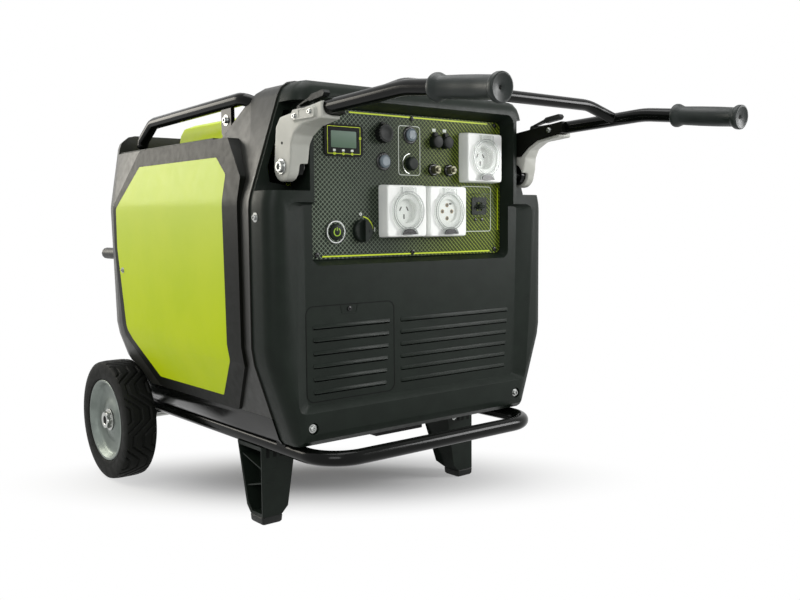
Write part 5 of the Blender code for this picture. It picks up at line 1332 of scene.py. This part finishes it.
def build_axle_nut(side, word):
    seat, top = RIM_LIP - 0.0108, RIM_LIP + 0.0004
    washer_top = seat + 0.0018
    washer = (
        (0.0245, seat), (0.0250, seat + 0.0004), (0.0250, seat + 0.0014),
        (0.0244, washer_top), (0.0165, washer_top),
    )
    nut = (
        (0.0185, washer_top), (0.0205, seat + 0.0030), (0.0205, top - 0.0020), (0.0180, top),
        (0.0105, top), (0.0096, top - 0.0008), (0.0096, top - 0.0013),
    )
    end = ((0.0094, top - 0.0013), (0.0094, top - 0.0009), (0.0006, top - 0.0011))
    axis = RIGHT * side
    bm = bmesh.new()
    lathe(bm, AXLE_AT, axis, washer, 40)
    lathe(bm, AXLE_AT, axis, nut, 60, shaped=(1, 2), outline=hexagon)
    piece(f"{word}_axle_nut", bm, LOOKS["zinc"])
    # A dark disc in the nut: painted shade in the hole at the axle's end
    turned(f"{word}_axle_end", PAINTED_SHADE, AXLE_AT, end, 28, "zinc", axis=axis)


for side, word in SIDES:
    build_tyre(side, word)
    build_rim(side, word)
    build_axle_nut(side, word)


# Clear cover over the breaker

COVER_X = (BREAK.x - 0.024, BREAK.x + 0.026)
COVER_Z = (BREAK.z - 0.022, BREAK.z + 0.028)
COVER_DEPTH = 0.0225
bm = bmesh.new()
rings = []
for inset, out in ((0.0, 0.0), (0.0010, COVER_DEPTH - 0.004), (0.0040, COVER_DEPTH)):
    path = rounded_path(*shrunk(COVER_X, COVER_Z, inset), 0.006)
    rings.append([bm.verts.new(on_panel(*point, out)) for point in path])
skin(bm, rings)
piece("breaker_clear_cover", bm, CLEAR_COVER)


# Shadow line round the service door

DOOR_X, _, DOOR_Z = zip(DOOR_LOW, DOOR_HIGH)
bm = bmesh.new()
outline_box(bm, DOOR_X, DOOR_Z, 0.015, 0.0016, FACE_Y + 0.0010, 0.0013, 6)
piece("door_seam", bm, PAINTED_SHADE)


# Floor, light and camera

FLOOR_GREY = (0.56, 0.56, 0.56)
FLOOR_HALF = 14.0
FLOOR_LOW = -0.0025
FLOOR_THICK = 0.002
# The floor stays grey in an oval round the machine, turned to lie along its shadow: painted shadow beside
# the cast shadow it takes; outside, it fades to plain white
OVAL_MIDDLE = (0.00, 0.195)
OVAL_TURN = radians(-39.4)
OVAL_HALF = (0.79, 0.31)
FADE = (0.10, 0.97, 0.12, 1.0)
ROOM_LIGHT = 0.22
PLAIN = (1, 1, 1)
WARM = (1.0, 0.95, 0.84)
LAMPS = (
    ("top", (-0.2, 0.0, 2.9), (0, 0.1, 0.4), (2.0, 2.0), 56, PLAIN),
    ("left", (-2.2, -2.2, 1.6), (0, 0.0, 0.50), (1.4, 1.4), 36, PLAIN),
    ("front right", (1.75, -1.60, 1.15), (0, 0, 0.60), (0.9, 0.9), 40, PLAIN),
    ("rear left", (-1.40, 2.10, 1.32), (0, 0.3, 0.62), (1.3, 1.0), 28, WARM),
)
CAMERA_AT = (-1.1504, -1.4885, 0.5795)
CAMERA_TURNS = (39.36, 4.889, -0.461)
CAMERA_LENS = 40.82
CAMERA_SENSOR = 36.0


def seen_white(tree):
    """One where a ray comes from the camera or off metal or glass, and nought for plain light."""
    path = tree.nodes.new("ShaderNodeLightPath")
    total = path.outputs["Is Camera Ray"]
    for name in ("Is Glossy Ray", "Is Transmission Ray"):
        node = tree.nodes.new("ShaderNodeMath")
        node.operation = "MAXIMUM"
        tree.links.new(total, node.inputs[0])
        tree.links.new(path.outputs[name], node.inputs[1])
        total = node.outputs[0]
    return total


def white_glow(tree, kind, strength):
    """The output of a plain white shader node."""
    node = tree.nodes.new(kind)
    node.inputs["Color"].default_value = (1, 1, 1, 1)
    node.inputs["Strength"].default_value = strength
    return node.outputs[0]


def floor():
    """A pale floor that takes the shadow, greyer in an oval round the machine as painted shadow, and runs
    out into plain white.
    """
    bm = bmesh.new()
    span = (-FLOOR_HALF, FLOOR_HALF)
    slab(bm, [Vector((*corner, FLOOR_LOW)) for corner in rectangle(span, span)], UP * FLOOR_THICK)
    mesh = bpy.data.meshes.new("floor")
    bm.to_mesh(mesh)
    bm.free()
    obj = add_object("floor", mesh)
    graph = Graph("pale floor")
    x = graph.math("SUBTRACT", graph.axis("X"), OVAL_MIDDLE[0])
    y = graph.math("SUBTRACT", graph.axis("Y"), OVAL_MIDDLE[1])
    parts = []
    for turn, half in zip((OVAL_TURN, OVAL_TURN + pi / 2), OVAL_HALF):
        shares = (graph.math("MULTIPLY", x, cos(turn)), graph.math("MULTIPLY", y, sin(turn)))
        along = graph.math("DIVIDE", graph.math("ADD", *shares), half)
        parts.append(graph.math("POWER", graph.math("ABSOLUTE", along), 2.0))
    far = graph.spread(graph.math("SQRT", graph.math("ADD", *parts)), *FADE)
    cloud = graph.spread(graph.noise(1.5, 2.0), *NOISE_SPAN)
    tint = graph.mix(cloud, shade(FLOOR_GREY, 0.99), FLOOR_GREY)
    graph.set(Base_Color=tint, Roughness=0.9, Specular_IOR_Level=0.0)
    seen = graph.math("MULTIPLY", far, seen_white(graph.tree))
    mix_into(graph, seen, white_glow(graph.tree, "ShaderNodeEmission", 1.0))
    mesh.materials.append(graph.mat)


def world():
    """A dim white room that is plain white where it is seen."""
    made = bpy.data.worlds.new("studio")
    bpy.context.scene.world = made
    made.use_nodes = True
    tree = made.node_tree
    tree.nodes.clear()
    lit, seen = (white_glow(tree, "ShaderNodeBackground", strength) for strength in (ROOM_LIGHT, 1.0))
    target = tree.nodes.new("ShaderNodeOutputWorld").inputs[0]
    mix_shaders(tree, seen_white(tree), lit, seen, target)


def lamp(name, at, aim, size, power, colour):
    data = bpy.data.lights.new(name, "AREA")
    data.shape = "RECTANGLE"
    data.size, data.size_y = size
    data.energy = power
    data.color = colour
    obj = add_object(name, data)
    obj.location = at
    obj.rotation_euler = (Vector(aim) - Vector(at)).to_track_quat("-Z", "Y").to_euler()
    obj.visible_camera = False


def camera():
    yaw, pitch, roll = (radians(turn) for turn in CAMERA_TURNS)
    ahead = Vector((sin(yaw) * cos(pitch), cos(yaw) * cos(pitch), -sin(pitch)))
    side = ahead.cross(UP).normalized()
    top = side.cross(ahead)
    rolled_side = side * cos(roll) + top * sin(roll)
    rolled_top = top * cos(roll) - side * sin(roll)
    data = bpy.data.cameras.new("photo view")
    data.lens = CAMERA_LENS
    data.sensor_width = CAMERA_SENSOR
    obj = add_object("photo view", data)
    turn = Matrix((rolled_side, rolled_top, -ahead)).transposed().to_4x4()
    obj.matrix_world = Matrix.Translation(CAMERA_AT) @ turn
    bpy.context.scene.camera = obj


floor()
world()
for row in LAMPS:
    lamp(*row)
camera()
bpy.context.scene.view_settings.view_transform = "Standard"
